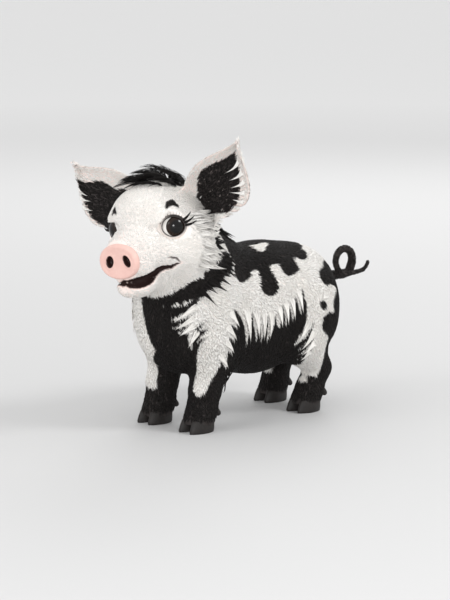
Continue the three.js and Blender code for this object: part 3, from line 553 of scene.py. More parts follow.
def sampled(field, axes):
    """The field at the grid's corners near its surface, and only its sign far from it."""
    blocks = [math.ceil((len(a) - 1) / BLOCK) for a in axes]
    padded = []
    for a, n in zip(axes, blocks):
        extra = n * BLOCK + 1 - len(a)
        step = a[-1] - a[-2]
        padded.append(np.concatenate([a, a[-1] + step * np.arange(1, extra + 1)]))
    middles = [(a[:-1:BLOCK] + a[BLOCK::BLOCK]) / 2 for a in padded]
    centre = np.stack(np.meshgrid(*middles, indexing="ij"), -1).reshape(-1, 3)
    coarse = field(centre).reshape(blocks)
    reach = 0.5 * math.sqrt(sum((BLOCK * np.diff(a).max()) ** 2 for a in padded))
    active = np.abs(coarse) < 1.35 * reach + 3
    value = coarse
    for k in range(3):
        active = np.repeat(active, BLOCK, k)
        value = np.repeat(value, BLOCK, k)
    active = np.pad(active, ((0, 1),) * 3)
    value = np.pad(value, ((0, 1),) * 3, mode="edge").astype(np.float64)
    for k in range(3):
        active |= np.roll(active, 1, k)
    at = np.argwhere(active)
    points = np.column_stack([padded[k][at[:, k]] for k in range(3)])
    for start in range(0, len(points), 200000):
        part = slice(start, start + 200000)
        value[tuple(at[part].T)] = field(points[part])
    return value, padded


CORNERS = np.array([(i, j, k) for i in (0, 1) for j in (0, 1) for k in (0, 1)])
CELL_EDGES = [
    (a, b) for a in range(8) for b in range(a + 1, 8) if np.abs(CORNERS[a] - CORNERS[b]).sum() == 1
]


def surface_net(field, axes):
    """A mesh of quads: a point in each cell that the surface crosses, and a quad over each crossed edge."""
    value, axes = sampled(field, axes)
    inside = value < 0
    size = np.array(value.shape) - 1
    corner = [
        inside[c[0] : size[0] + c[0], c[1] : size[1] + c[1], c[2] : size[2] + c[2]] for c in CORNERS
    ]
    mixed = np.logical_or.reduce(corner) & ~np.logical_and.reduce(corner)
    cells = np.argwhere(mixed)
    number = np.full(mixed.shape, -1)
    number[mixed] = np.arange(len(cells))

    def place(at):
        return np.column_stack([axes[k][at[:, k]] for k in range(3)])

    total = np.zeros((len(cells), 3))
    count = np.zeros(len(cells))
    for a, b in CELL_EDGES:
        at_a, at_b = cells + CORNERS[a], cells + CORNERS[b]
        va, vb = value[tuple(at_a.T)], value[tuple(at_b.T)]
        cross = (va < 0) != (vb < 0)
        share = (va / np.where(cross, va - vb, 1))[:, None]
        total += np.where(cross[:, None], place(at_a) * (1 - share) + place(at_b) * share, 0)
        count += cross
    points = total / count[:, None]

    quads = []
    for axis in range(3):
        u, v = (axis + 1) % 3, (axis + 2) % 3
        step = np.eye(3, dtype=int)
        low = np.moveaxis(inside, axis, 0)[:-1]
        high = np.moveaxis(inside, axis, 0)[1:]
        crossing = np.moveaxis(low != high, 0, axis)
        at = np.argwhere(crossing)
        at = at[(at[:, u] > 0) & (at[:, v] > 0) & (at[:, u] < size[u]) & (at[:, v] < size[v])]
        ring = [at, at - step[u], at - step[u] - step[v], at - step[v]]
        quad = np.column_stack([number[tuple(c.T)] for c in ring])
        outward = inside[tuple(at.T)]
        quad[~outward] = quad[~outward][:, ::-1]
        quads.append(quad)
    return points, np.concatenate(quads)


def relaxed(points, quads, field, rounds):
    """Evens the mesh out along the surface: each point goes to the middle of its neighbours and back."""
    for _ in range(rounds):
        total = np.zeros_like(points)
        count = np.zeros(len(points))
        for k in range(4):
            a, b = quads[:, k], quads[:, (k + 1) % 4]
            for x, y in ((a, b), (b, a)):
                for c in range(3):
                    total[:, c] += np.bincount(x, points[y, c], len(points))
                count += np.bincount(x, minlength=len(points))
        middle = total / np.maximum(count, 1)[:, None]
        points = on_surface(field, points + 0.5 * (middle - points), 1, 0.6)
    return points


# ---- Markings and painted shade: dark shapes on the coat -----------------------------------------------

# Runs of balls, each a place and a radius, joined in their order.
SADDLE = [
    [([0, -66, 200], 45), ([0, 50, 200], 45), ([0, 84, 204], 29)],
    [([48, -30, 190], 12), ([47, -18, 191], 11)],
    [([46, 14, 196], 10), ([55, 14, 182], 11), ([58, 14.5, 173], 15)],
    [([48, 53, 190.5], 13), ([46, 63, 189], 10)],
    [([29, 88, 202], 14)],
]
SADDLE_RIGHT = [
    [([-49, -34, 188], 13), ([-54, -30, 176], 11)],
    [([-47, 4, 190], 11)],
    [([-45, 36, 194], 9), ([-55, 40, 174], 13)],
    [([-43, 74, 190], 12)],
]
OVAL = [[([13, 20, 213], 1.5), ([20, 28, 210], 8), ([16, 45, 213], 4)]]
NAPE = [
    [([5, -105, 205], 46), ([3, -66, 226], 34)],
    [([14, -106, 308], 17), ([11, -86, 284], 31), ([6, -70, 256], 36)],
    [
        ([46, -52, 206], 13), ([60, -86, 194], 14), ([55, -108, 181], 12), ([38, -133, 169], 11),
        ([0, -143, 161], 11),
    ],
    [([-46, -52, 206], 13), ([-60, -86, 194], 14), ([-55, -108, 181], 12), ([-38, -133, 169], 11)],
]
RUMP = [
    [([50, 112, 169], 12), ([34, 132, 166], 21), ([38, 142, 148], 16), ([46, 132, 126], 27)],
    [([72, 104, 115], 14), ([56, 124, 108], 20)],
    [([56, 122, 90], 18), ([50, 120, 66], 20)],
    [([69.3, 96.3, 138.9], 6.0)],
    [([-50, 118, 176], 14), ([-30, 140, 160], 18), ([-44, 138, 130], 26), ([-52, 124, 92], 20)],
    [([-66, 80, 150], 10)],
]
# The outline of the dark low parts from the side, y and z: the elbow's and the flank's spikes, the belly,
# the stifle's spikes and the feet. The dark over the belly and the lower flanks is painted shade.
LOW_DARK = [
    (-140, -10), (-140, 44), (-98, 43), (-92, 49), (-90, 53), (-82, 70), (-75, 88), (-67, 78), (-67, 101),
    (-56, 94), (-66, 118), (-52, 109), (-61, 133), (-47, 125), (-56, 152), (-41, 139), (-33, 127),
    (-22, 98), (-23, 116), (-19, 142), (-17, 127), (-8, 104), (-9, 124), (-8, 137), (-6, 126), (0, 102),
    (4, 120), (7, 138), (7, 124), (9, 101), (17, 123), (20, 137), (21, 122), (27, 117), (31, 146),
    (37, 119), (43, 143), (48, 124), (54, 154), (61, 131), (68, 162), (71, 139), (69, 121), (60, 105),
    (52, 91), (67, 103), (80, 121), (71, 102), (58, 84), (65, 91), (78, 101), (61, 78), (64, 80), (76, 88),
    (65, 72), (70, 78), (75, 64), (80, 48), (86, 36), (91, 39), (95, 47), (101, 43), (104, 59), (107, 69),
    (140, 69), (140, -10),
]
# The outline of the painted shade on the chest from the front, x and z.
CHEST_SHADE = [
    (-10, 160), (19, 158), (37, 157.5), (48, 161), (60, 170), (55, 159), (48, 151), (32, 141), (44, 142),
    (53, 146), (47, 139), (34, 131), (51, 135), (39, 125), (50, 126), (48, 118), (48, 109), (49, 105),
    (53, 124), (56, 133), (63, 141), (57, 129), (63, 131), (55, 115), (61, 121), (54, 105), (49, 91),
    (39, 65), (40, 52), (47, 43), (47, -10), (-46, -10), (-29, 45), (-23, 60), (-8, 84), (8, 101),
    (-1, 126), (-8, 149),
]
CHEST_END = -88.0  # how far back the chest's outline holds
LOW_DARK_REACH = {"under": 185.0, "behind": -142.0}  # where the two outlines are looked up
# The legs' dark inner sides, between the legs and under the body, are painted shade.
INNER_LEG_SHADE = {"x": 30.0, "y": -96.0}  # the legs are dark on their inner sides, behind this place
MARK_BLEND = 3.5


def runs(p, shapes):
    """The distance to runs of balls, negative inside them."""
    d = np.full(len(p), FAR)
    for balls in shapes:
        pairs = list(zip(balls, balls[1:])) or [(balls[0], balls[0])]
        for (a, ra), (b, rb) in pairs:
            b = np.array(b, float) + 1e-3
            d = blend(d, limb(p, a, b, ra, rb), MARK_BLEND)
    return d


def wave(p, size, seed):
    """Smooth noise about 1 high, from a few waves in seeded directions."""
    draw = np.random.default_rng(seed)
    total = np.zeros(len(p))
    for _ in range(6):
        way = unit(draw.normal(size=3)) * (2 * np.pi / size) * draw.uniform(0.6, 1.6)
        total += np.sin(p @ way + draw.uniform(0, 2 * np.pi))
    return total / 2.5


def inside_outline(a, b, outline):
    """The distance to a closed outline in a plane, negative inside it."""
    corners = np.array(outline, float)
    near = np.full(len(a), FAR)
    inside = np.zeros(len(a), bool)
    for (a0, b0), (a1, b1) in zip(corners, np.roll(corners, -1, 0)):
        da, db = a1 - a0, b1 - b0
        share = np.clip(((a - a0) * da + (b - b0) * db) / (da * da + db * db), 0, 1)
        near = np.minimum(near, np.hypot(a - a0 - share * da, b - b0 - share * db))
        if db:
            inside ^= ((b0 <= b) != (b1 <= b)) & (a < a0 + (b - b0) * da / db)
    return np.where(inside, -near, near)


def low_dark_and_painted_shade(p):
    """The dark low parts: painted shade on the lower flanks, belly, chest and legs' inner sides, and dark
    lower legs.
    """
    x, y, z = p.T
    stretched = np.where(x < 0, y - np.interp(y, (0, 90), (0, 12)), y)
    d = inside_outline(stretched, z, LOW_DARK)
    chest = np.maximum(inside_outline(x, z, CHEST_SHADE), y - CHEST_END)
    inner = np.maximum(np.maximum(np.abs(x) - INNER_LEG_SHADE["x"], INNER_LEG_SHADE["y"] - y), z - 130)
    return np.minimum(np.minimum(d, chest), inner)


# Dark marks of the face, in the head's frame: the brows and the skin under the forelock.
FACE_MARKS = [
    [([44, 30, 26], 2.0), ([43.8, 24, 29], 3.1), ([45.5, 18.5, 29], 3.6), ([49.5, 15.5, 23], 2.2)],
    [([-31, 43.5, 25], 2.2), ([-27, 43, 29.5], 3.0), ([-21, 47, 26.5], 1.8)],
    [([-18, -15, 49], 9), ([32, -17, 47], 9)],
]
# Where the dark inside of each ear ends, darker skin painted black as shade in the cup: share of the
# length, and of the half width towards the face and away from it.
EAR_CUP_SHADE = {
    1: [
        (-0.10, 0.02, -0.28), (-0.04, 0.26, -0.56), (0.10, 0.50, -0.84), (0.24, 0.66, -0.78),
        (0.35, 0.71, -0.63), (0.45, 0.62, -0.47), (0.59, 0.46, -0.36), (0.68, 0.32, -0.21),
        (0.77, 0.17, 0.02), (0.80, 0.1, 0.08),
    ],
    -1: [
        (0.02, 0.50, -0.90), (0.20, 0.45, -0.93), (0.35, 0.25, -0.90), (0.44, 0.30, -0.88),
        (0.56, 0.34, -0.82), (0.66, 0.16, -0.84), (0.74, -0.25, -0.93), (0.81, -0.70, -0.99),
        (0.86, -0.98, -1.0),
    ],
}


def dark_at(p):
    """How dark the coat is at p: 1 in the markings and the painted shade, 0 in the white, with a crisp edge
    between.
    """
    d = runs(p, SADDLE + SADDLE_RIGHT)
    d = np.maximum(d, -runs(p, OVAL))
    d = blend(d, runs(p, RUMP), 3.0)
    # The low parts' dark: painted shade on the belly, lower flanks, chest and legs' inner sides.
    low = np.full(len(p), FAR)
    under = (p[:, 2] < LOW_DARK_REACH["under"]) & (p[:, 1] > LOW_DARK_REACH["behind"])
    low[under] = low_dark_and_painted_shade(p[under])
    d = np.minimum(d, low)
    q = to_head(p)
    # The nape's dark ends at a plane behind the ears and at another one under the cheeks.
    behind = np.minimum(q[:, 1] + 35 - 0.12 * q[:, 2], 0.6 * (q[:, 1] + 5) + 0.8 * (q[:, 2] + 64))
    d = np.minimum(d, np.maximum(runs(p, NAPE) + 2.0 * wave(p, 9, 7), behind))
    face = runs(q, FACE_MARKS)
    for side in SIDES:
        u, v, height = ear_coordinates(to_ear(q, side), side)
        ends, front, rear = np.array(EAR_CUP_SHADE[side]).T
        half = ear_half_width(u)
        w = side * v
        inner = np.maximum(w - np.interp(u, ends, front), np.interp(u, ends, rear) - w) * half
        inner = np.maximum(inner, np.maximum(ends[0] - u, u - ends[-1]) * EAR["length"])
        # Painted shade: only the cup's inner side of each ear is dark.
        cup = np.maximum(inner, np.maximum(-3 * height, np.abs(height) - 14))
        face = np.where(ear_field(q, side) < 4, np.minimum(face, cup), face)
    d = np.minimum(d, face)
    return smoothstep(0.8, -0.8, d)


# ---- Meshes and materials ------------------------------------------------------------------------------


def placed(name, data):
    """A new object of the scene."""
    made = bpy.data.objects.new(name, data)
    bpy.context.scene.collection.objects.link(made)
    return made


def mesh_object(name, points, faces, values=None):
    """A mesh from arrays, placed in the frame, with named numbers at its vertices."""
    mesh = bpy.data.meshes.new(name)
    corners = faces.shape[1]
    mesh.vertices.add(len(points))
    mesh.vertices.foreach_set("co", to_frame(points).astype(np.float32).ravel())
    mesh.loops.add(faces.size)
    mesh.loops.foreach_set("vertex_index", faces.astype(np.int32).ravel())
    mesh.polygons.add(len(faces))
    mesh.polygons.foreach_set("loop_start", np.arange(0, faces.size, corners, dtype=np.int32))
    mesh.polygons.foreach_set("use_smooth", np.ones(len(faces), bool))
    mesh.update(calc_edges=True)
    for key, value in (values or {}).items():
        layer = mesh.attributes.new(key, "FLOAT", "POINT")
        layer.data.foreach_set("value", np.asarray(value, np.float32))
    return placed(name, mesh)


def dress(piece, slot, material, *stands_for):
    """Gives a piece its material and body, and names the solids that it stands for. Its slot is not used.
    """
    piece.data.materials.clear()
    piece.data.materials.append(material)
    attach(piece, "root")
    if stands_for:
        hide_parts(*stands_for)


class Nodes:
    """A material's node tree, built a node at a time."""

    def __init__(self, name):
        self.material = bpy.data.materials.new(name)
        self.material.use_nodes = True
        self.tree = self.material.node_tree
        self.shader = self.tree.nodes["Principled BSDF"]

    def add(self, kind, **sockets):
        node = self.tree.nodes.new(kind)
        for key, value in sockets.items():
            self.set(node, key, value)
        return node

    def set(self, node, key, value):
        socket = node.inputs[int(key[1:])] if key[0] == "i" and key[1:].isdigit() else node.inputs[key]
        if isinstance(value, bpy.types.NodeSocket):
            self.tree.links.new(value, socket)
        else:
            socket.default_value = value

    def number(self, name):
        node = self.add("ShaderNodeAttribute")
        node.attribute_name = name
        return node.outputs["Fac"]

    def math(self, operation, a, b=0.0, clamp=False):
        node = self.add("ShaderNodeMath", i0=a, i1=b)
        node.operation = operation
        node.use_clamp = clamp
        return node.outputs[0]

    def mix(self, share, a, b, kind="MIX"):
        node = self.add("ShaderNodeMix")
        node.data_type = "RGBA"
        node.blend_type = kind
        self.set(node, "i0", share)
        self.set(node, "i6", a)
        self.set(node, "i7", b)
        return node.outputs[2]

    def noise(self, scale, detail=2.0):
        place = self.add("ShaderNodeTexCoord").outputs["Object"]
        node = self.add("ShaderNodeTexNoise", Vector=place, Scale=scale, Detail=detail)
        return node.outputs["Fac"]

    def surface(self, colour, roughness, specular=0.5):
        self.set(self.shader, "Base Color", colour)
        self.set(self.shader, "Roughness", roughness)
        self.set(self.shader, "Specular IOR Level", specular)

    def bump(self, height, strength, distance):
        node = self.add("ShaderNodeBump", Height=height, Strength=strength, Distance=distance)
        self.set(self.shader, "Normal", node.outputs["Normal"])


def rgba(r, g, b):
    return (r, g, b, 1.0)


WHITE_HAIR = rgba(0.93, 0.915, 0.89)
CREAM_HAIR = rgba(0.87, 0.84, 0.79)
BLACK_HAIR = rgba(0.007, 0.006, 0.006)
BROWN_HAIR = rgba(0.015, 0.013, 0.012)
PALE_SKIN = rgba(0.88, 0.79, 0.74)
PINK_SKIN = rgba(0.80, 0.56, 0.50)
DARK_SKIN = rgba(0.030, 0.025, 0.024)
# Painted shade in the mouth's gap, the smile's creases and the nostrils.
HOLE_SHADE = rgba(0.020, 0.008, 0.007)


def coat_material():
    """Hair: white or black by its dark number, in a tone of its own, and darker at its root by painted
    shade.
    """
    n = Nodes("coat")
    white = n.mix(n.number("tone"), CREAM_HAIR, WHITE_HAIR)
    black = n.mix(n.number("tone"), BLACK_HAIR, BROWN_HAIR)
    # Black where the dark number holds a marking or painted shade.
    colour = n.mix(n.number("dark"), white, black)
    # Painted shade: each hair is darker towards its root, for the shade deep in the coat.
    root_shade = n.math("MULTIPLY_ADD", n.number("along"), 0.14, clamp=True)
    root_shade.node.inputs[2].default_value = 0.86
    root_shade_grey = n.add("ShaderNodeCombineColor", Red=root_shade, Green=root_shade, Blue=root_shade)
    n.surface(n.mix(1.0, colour, root_shade_grey.outputs[0], "MULTIPLY"), 0.55, 0.16)
    return n.material


def skin_material():
    n = Nodes("skin")
    colour = n.mix(n.number("pink"), n.mix(n.noise(55.0, 3.0), PALE_SKIN, WHITE_HAIR), PINK_SKIN)
    # The dark number holds the markings and the painted shade of the low parts and the ear cups.
    colour = n.mix(n.number("dark"), colour, DARK_SKIN)
    # Painted shade in the mouth's gap and the smile's creases.
    colour = n.mix(n.number("mouth"), colour, HOLE_SHADE)
    n.surface(colour, 0.7, 0.2)
    n.bump(n.noise(900.0, 3.0), 0.35, 0.0006)
    return n.material


def nose_material():
    n = Nodes("nose")
    pink = n.mix(n.noise(140.0, 3.0), rgba(0.80, 0.55, 0.49), rgba(0.70, 0.43, 0.38))
    # Painted shade in the nostrils' pits.
    n.surface(n.mix(n.number("pit"), pink, HOLE_SHADE), 0.38, 0.3)
    n.bump(n.noise(700.0, 2.0), 0.4, 0.0006)
    return n.material


def eye_material():
    """Pupil, iris and white by the angle from the middle of the pupil, under a clear wet coat."""
    n = Nodes("eye")
    ramp = n.add("ShaderNodeValToRGB", Fac=n.number("angle"))
    stops = [
        (0.0, rgba(0.003, 0.003, 0.003)), (0.33, rgba(0.003, 0.003, 0.003)),
        (0.38, rgba(0.012, 0.007, 0.005)), (0.54, rgba(0.018, 0.010, 0.006)),
        (0.585, rgba(0.006, 0.004, 0.003)), (0.61, rgba(0.84, 0.82, 0.79)), (1.0, rgba(0.86, 0.84, 0.81)),
    ]
    band = ramp.color_ramp
    for place, _ in stops[2:]:
        band.elements.new(place)
    for element, (place, colour) in zip(band.elements, stops):
        element.position = place
        element.color = colour
    n.surface(ramp.outputs["Color"], 0.06, 0.05)
    n.set(n.shader, "Coat Weight", 0.5)
    n.set(n.shader, "Coat Roughness", 0.02)
    return n.material


def lid_material():
    n = Nodes("lid")
    pale = n.mix(n.noise(60.0, 2.0), PALE_SKIN, WHITE_HAIR)
    n.surface(n.mix(n.number("edge"), pale, DARK_SKIN), 0.6, 0.15)
    n.bump(n.noise(900.0, 2.0), 0.3, 0.0005)
    return n.material


def hoof_material():
    n = Nodes("hoof")
    stripes = n.noise(240.0, 4.0)
    n.surface(n.mix(stripes, rgba(0.010, 0.009, 0.009), rgba(0.024, 0.020, 0.018)), 0.5, 0.25)
    n.bump(stripes, 0.3, 0.0006)
    return n.material


# ---- Strands: tapered three-sided hairs, from arrays ---------------------------------------------------


def chart(points, normals, low, high):
    """Each point's place on an unwrap of the skin: one of six charts, by the way that its normal points."""
    axis = np.abs(normals).argmax(1)
    back = np.take_along_axis(normals, axis[:, None], 1)[:, 0] < 0
    number = 2 * axis + back
    span = (high - low).max()
    share = (points - low) / span
    u = np.where(axis == 0, share[:, 1], share[:, 0])
    v = np.where(axis == 2, share[:, 1], share[:, 2])
    column, row = number % 3, number // 3
    return np.column_stack([(column + 0.04 + 0.9 * u) / 3, row / 2 + 0.02 + 0.3 * v])


PATCH = 0.003  # size of each hair's place on the bake map


class Strands:
    """Hairs with the same number of rings: their lines, sections and numbers.

    A line has a place for each ring and one for the tip.
    """

    def __init__(self, line, out, wide, thick, dark, tone):
        self.line, self.out, self.wide, self.thick = line, out, wide, thick
        self.dark, self.tone = dark, tone

    def pick(self, mask):
        parts = (self.line, self.out, self.wide, self.thick, self.dark, self.tone)
        return Strands(*(a[mask] for a in parts))

    def arrays(self):
        """The hairs' points, triangles, numbers and places on the bake map."""
        n, rings = self.line.shape[0], self.line.shape[1] - 1
        along = unit(np.diff(self.line, axis=1))
        across = unit(np.cross(along, self.out[:, None, :]))
        up = np.cross(across, along)
        centre = self.line[:, :-1]
        half = across * self.wide[..., None]
        ridge = up * self.thick[..., None]
        ring = np.stack([centre - half, centre + half, centre + ridge], 2).reshape(n, rings * 3, 3)
        points = np.concatenate([ring, self.line[:, -1:]], 1)
        each = rings * 3 + 1
        faces = [(0, 1, 2)]
        for r in range(rings - 1):
            for j in range(3):
                a, b = r * 3 + j, r * 3 + (j + 1) % 3
                faces += [(a, a + 3, b), (b, a + 3, b + 3)]
        last = (rings - 1) * 3
        faces += [(last + j, each - 1, last + (j + 1) % 3) for j in range(3)]
        faces = np.array(faces)[None] + each * np.arange(n)[:, None, None]
        share = np.concatenate([np.repeat(np.arange(rings) / rings, 3), [1.0]])
        root = self.line[:, 0]
        low, high = root.min(0), root.max(0)
        base = chart(root, self.out, low, high)
        side = np.concatenate([np.tile([-0.5, 0.5, 0.0], rings), [0.0]])
        patch = PATCH * np.column_stack([side, share - 0.5])
        bake = base[:, None, :] + patch[None]
        values = {
            "dark": np.repeat(self.dark, each),
            "tone": np.repeat(self.tone, each),
            "along": np.tile(share, n),
        }
        return points.reshape(-1, 3), faces.reshape(-1, 3), values, bake.reshape(-1, 2)


def strand_object(name, strands, slot, material):
    points, faces, values, bake = strands.arrays()
    piece = mesh_object(name, points, faces, values)
    layer = piece.data.uv_layers.new(name="OFBake")
    layer.uv.foreach_set("vector", bake[faces.ravel()].astype(np.float32).ravel())
    dress(piece, slot, material)


# ---- The short coat ------------------------------------------------------------------------------------


def region_weights(p):
    """How much each point belongs to the trunk, the legs, the neck and the head."""
    trunk = trunk_field(p)
    legs = np.min([leg_field(p, leg) for leg in LEGS], axis=0)
    neck = limb(p, *NECK)
    head = head_field(p)
    near = np.exp(-np.maximum(np.column_stack([trunk, legs, neck, head]), -12) / 7)
    return near / near.sum(1, keepdims=True)


def ear_share(q, side):
    return smoothstep(5, 2.5, np.abs(ear_field(q, side))) * smoothstep(4, 12, to_ear(q, side)[:, 2])


def both_ears(q):
    return np.maximum(ear_share(q, 1), ear_share(q, -1))


# The ways that the hair lies on the chest, the legs and the neck.
CHEST_LIE, LEG_LIE, NECK_LIE = (0.0, 0.3, -1.0), (0.0, 0.18, -1.0), (0.0, 0.75, -0.55)
CHEST_FROM, CHEST_FULL = -95, -125  # where the chest's way begins and where it is alone


def lie_at(p, normals):
    """The way that the hair lies at each point of the skin."""
    weight = region_weights(p)
    low = smoothstep(BACK_Z, TRUNK_Z, p[:, 2])
    zero = np.zeros(len(p))
    trunk = np.column_stack([zero, 1 - 0.55 * low, -0.15 - 0.9 * low])
    chest = smoothstep(CHEST_FROM, CHEST_FULL, p[:, 1])[:, None]
    trunk = trunk * (1 - chest) + np.array(CHEST_LIE) * chest
    leg = np.tile(LEG_LIE, (len(p), 1))
    neck = np.tile(NECK_LIE, (len(p), 1))
    q = to_head(p)
    away = unit(q - np.array([0, SNOUT_F + 10, SNOUT_U]))
    away[:, 2] -= 0.25 * smoothstep(10, -30, q[:, 2])
    head = away @ HEAD.T
    lie = sum(weight[:, k : k + 1] * way for k, way in enumerate((trunk, leg, neck, head)))
    for side in SIDES:
        share = ear_share(q, side)[:, None]
        e = to_ear(q, side)
        along = np.column_stack([0.35 * e[:, 0] / 35, zero, zero + 1]) @ ear_frame(side).T @ HEAD.T
        lie = lie * (1 - share) + along * share
    lie = lie - (lie * normals).sum(1, keepdims=True) * normals
    return unit(lie)


# The coat's numbers on the body, the face, the legs and the ears: tufts for each square millimetre, their
# length and width, and their height halfway and at the tip.
COAT = {
    "density": (0.34, 0.58, 0.36, 0.30),
    "length": (6.6, 3.4, 6.0, 5.5),
    "width": (0.72, 0.5, 0.7, 0.55),
    "lift": (0.8, 0.25, 0.6, 0.5),
    "rise": (1.1, 0.4, 0.9, 0.6),
}


# How much single tufts differ: way to lie, length, height halfway and at the tip, width, and tone.
TUFT_STRAY = {"lie": 0.13, "long": 0.18, "lift": (0.6, 1.5), "rise": (0.4, 1.5), "stout": (0.8, 1.25)}
TUFT_TONE = {"middle": 0.6, "stray": 0.16, "wave": 0.15, "wave_size": 60, "wave_seed": 11}
TUFT_MIDDLE = 0.45  # the share of its length at which a tuft's second ring is


def scattered(points, triangles, density):
    """Roots spread evenly over triangles, by the number of roots that each square millimetre takes."""
    a, b, c = (points[triangles[:, k]] for k in range(3))
    area = np.linalg.norm(np.cross(b - a, c - a), axis=1) / 2
    reach = np.cumsum(area * density)
    count = int(reach[-1])
    pick = np.searchsorted(reach, np.arange(count) + rng.uniform(0, 1, count))
    pick = np.minimum(pick, len(triangles) - 1)
    s, t = rng.uniform(size=(2, count))
    over = s + t > 1
    s[over], t[over] = 1 - s[over], 1 - t[over]
    return a[pick] + s[:, None] * (b - a)[pick] + t[:, None] * (c - a)[pick]


def coat_numbers(p, key):
    """A number of the coat at each point, blended between the body's, face's, legs' and ears'."""
    body, face, leg, ear = COAT[key]
    head = region_weights(p)[:, 3]
    value = body + (face - body) * smoothstep(0.3, 0.8, head)
    value = value + (leg - value) * (smoothstep(100, 60, p[:, 2]) * (1 - head))
    return value + (ear - value) * both_ears(to_head(p))


def bare(p):
    """1 where no tufts grow: on the lips and in the mouth, round the eyes and next to the nose disc."""
    q = to_head(p)
    near = (q[:, 1] > -10) & (q[:, 2] < 20)
    none = np.zeros(len(p))
    gap, crease = mouth_gap(q[near]), crease_field(folded(q[near]))
    none[near] = np.maximum(smoothstep(1.4, 0.6, gap), smoothstep(1.3, 0.7, crease))
    for side in SIDES:
        none = np.maximum(none, smoothstep(1.5, 0.5, socket_field(q, side)))
    none = np.maximum(none, smoothstep(SNOUT_F + 1, SNOUT_F + 3, q[:, 1]))
    return np.maximum(none, smoothstep(CORONET_Z + 3, CORONET_Z, p[:, 2]))


def short_coat(points, quads):
    """Short hairs all over the skin, without those that would come out on an ear's other side."""
    triangles = np.concatenate([quads[:, [0, 1, 2]], quads[:, [0, 2, 3]]])
    middle = points[quads].mean(1)
    density = np.tile(coat_numbers(middle, "density") * (1 - bare(middle)), 2)
    roots = scattered(points, triangles, density)
    out = unit(slope_of(skin_field, roots))
    roots = roots - skin_field(roots)[:, None] * out
    lie = lie_at(roots, out)
    across = np.cross(out, lie)
    stray = rng.normal(size=(2, len(roots)))
    lie = unit(lie + across * TUFT_STRAY["lie"] * stray[0][:, None])
    length = coat_numbers(roots, "length") * np.exp(TUFT_STRAY["long"] * stray[1])
    lift = coat_numbers(roots, "lift") * rng.uniform(*TUFT_STRAY["lift"], len(roots))
    rise = coat_numbers(roots, "rise") * rng.uniform(*TUFT_STRAY["rise"], len(roots))

    def over(share, height):
        p = roots + lie * (length * share)[:, None]
        p = p - skin_field(p)[:, None] * out
        return p + out * height[:, None]

    line = np.stack([roots - 0.5 * out, over(TUFT_MIDDLE, lift), over(1.0, rise)], 1)
    stout = rng.uniform(*TUFT_STRAY["stout"], (len(roots), 1))
    wide = coat_numbers(roots, "width")[:, None] * np.array([0.8, 1.0]) * stout
    thin = both_ears(to_head(roots)) > 0.2
    dark = dark_at(roots + lie * np.where(thin, 0, TUFT_MIDDLE * length)[:, None])
    broad = TUFT_TONE["wave"] * wave(roots, TUFT_TONE["wave_size"], TUFT_TONE["wave_seed"])
    own = TUFT_TONE["stray"] * rng.normal(size=len(roots))
    tone = np.clip(TUFT_TONE["middle"] + own + broad, 0, 1)
    through = np.zeros(len(roots), bool)
    for ring in (1, 2):
        through[thin] |= (slope_of(skin_field, line[thin, ring]) * out[thin]).sum(1) < 0
    return Strands(line, out, wide, 0.45 * wide, dark, tone).pick(~through)


LEG_COAT_TOP = 92.0  # the legs' coat pieces end at this height
FORE_COAT_END = 5.0  # and the fore pieces at this place


def coat_regions(roots):
    """The coat's pieces, by name, as masks of the roots."""
    weight = region_weights(roots)
    q = to_head(roots)
    ear = both_ears(q) > 0.5
    head = (weight[:, 3] > 0.5) & ~ear
    leg = (roots[:, 2] < LEG_COAT_TOP) & (weight[:, 1] > 0.3) & ~ear & ~head
    body = ~(ear | head | leg)
    left = roots[:, 0] > 0
    fore = roots[:, 1] < FORE_COAT_END
    return {
        "coat_ears": ear,
        "coat_head_left": head & (q[:, 0] > 0),
        "coat_head_right": head & (q[:, 0] <= 0),
        "coat_legs_fore": leg & fore,
        "coat_legs_hind": leg & ~fore,
        "coat_fore_left": body & left & fore,
        "coat_fore_right": body & ~left & fore,
        "coat_hind_left": body & left & ~fore,
        "coat_hind_right": body & ~left & ~fore,
    }


# ---- Long locks ----------------------------------------------------------------------------------------

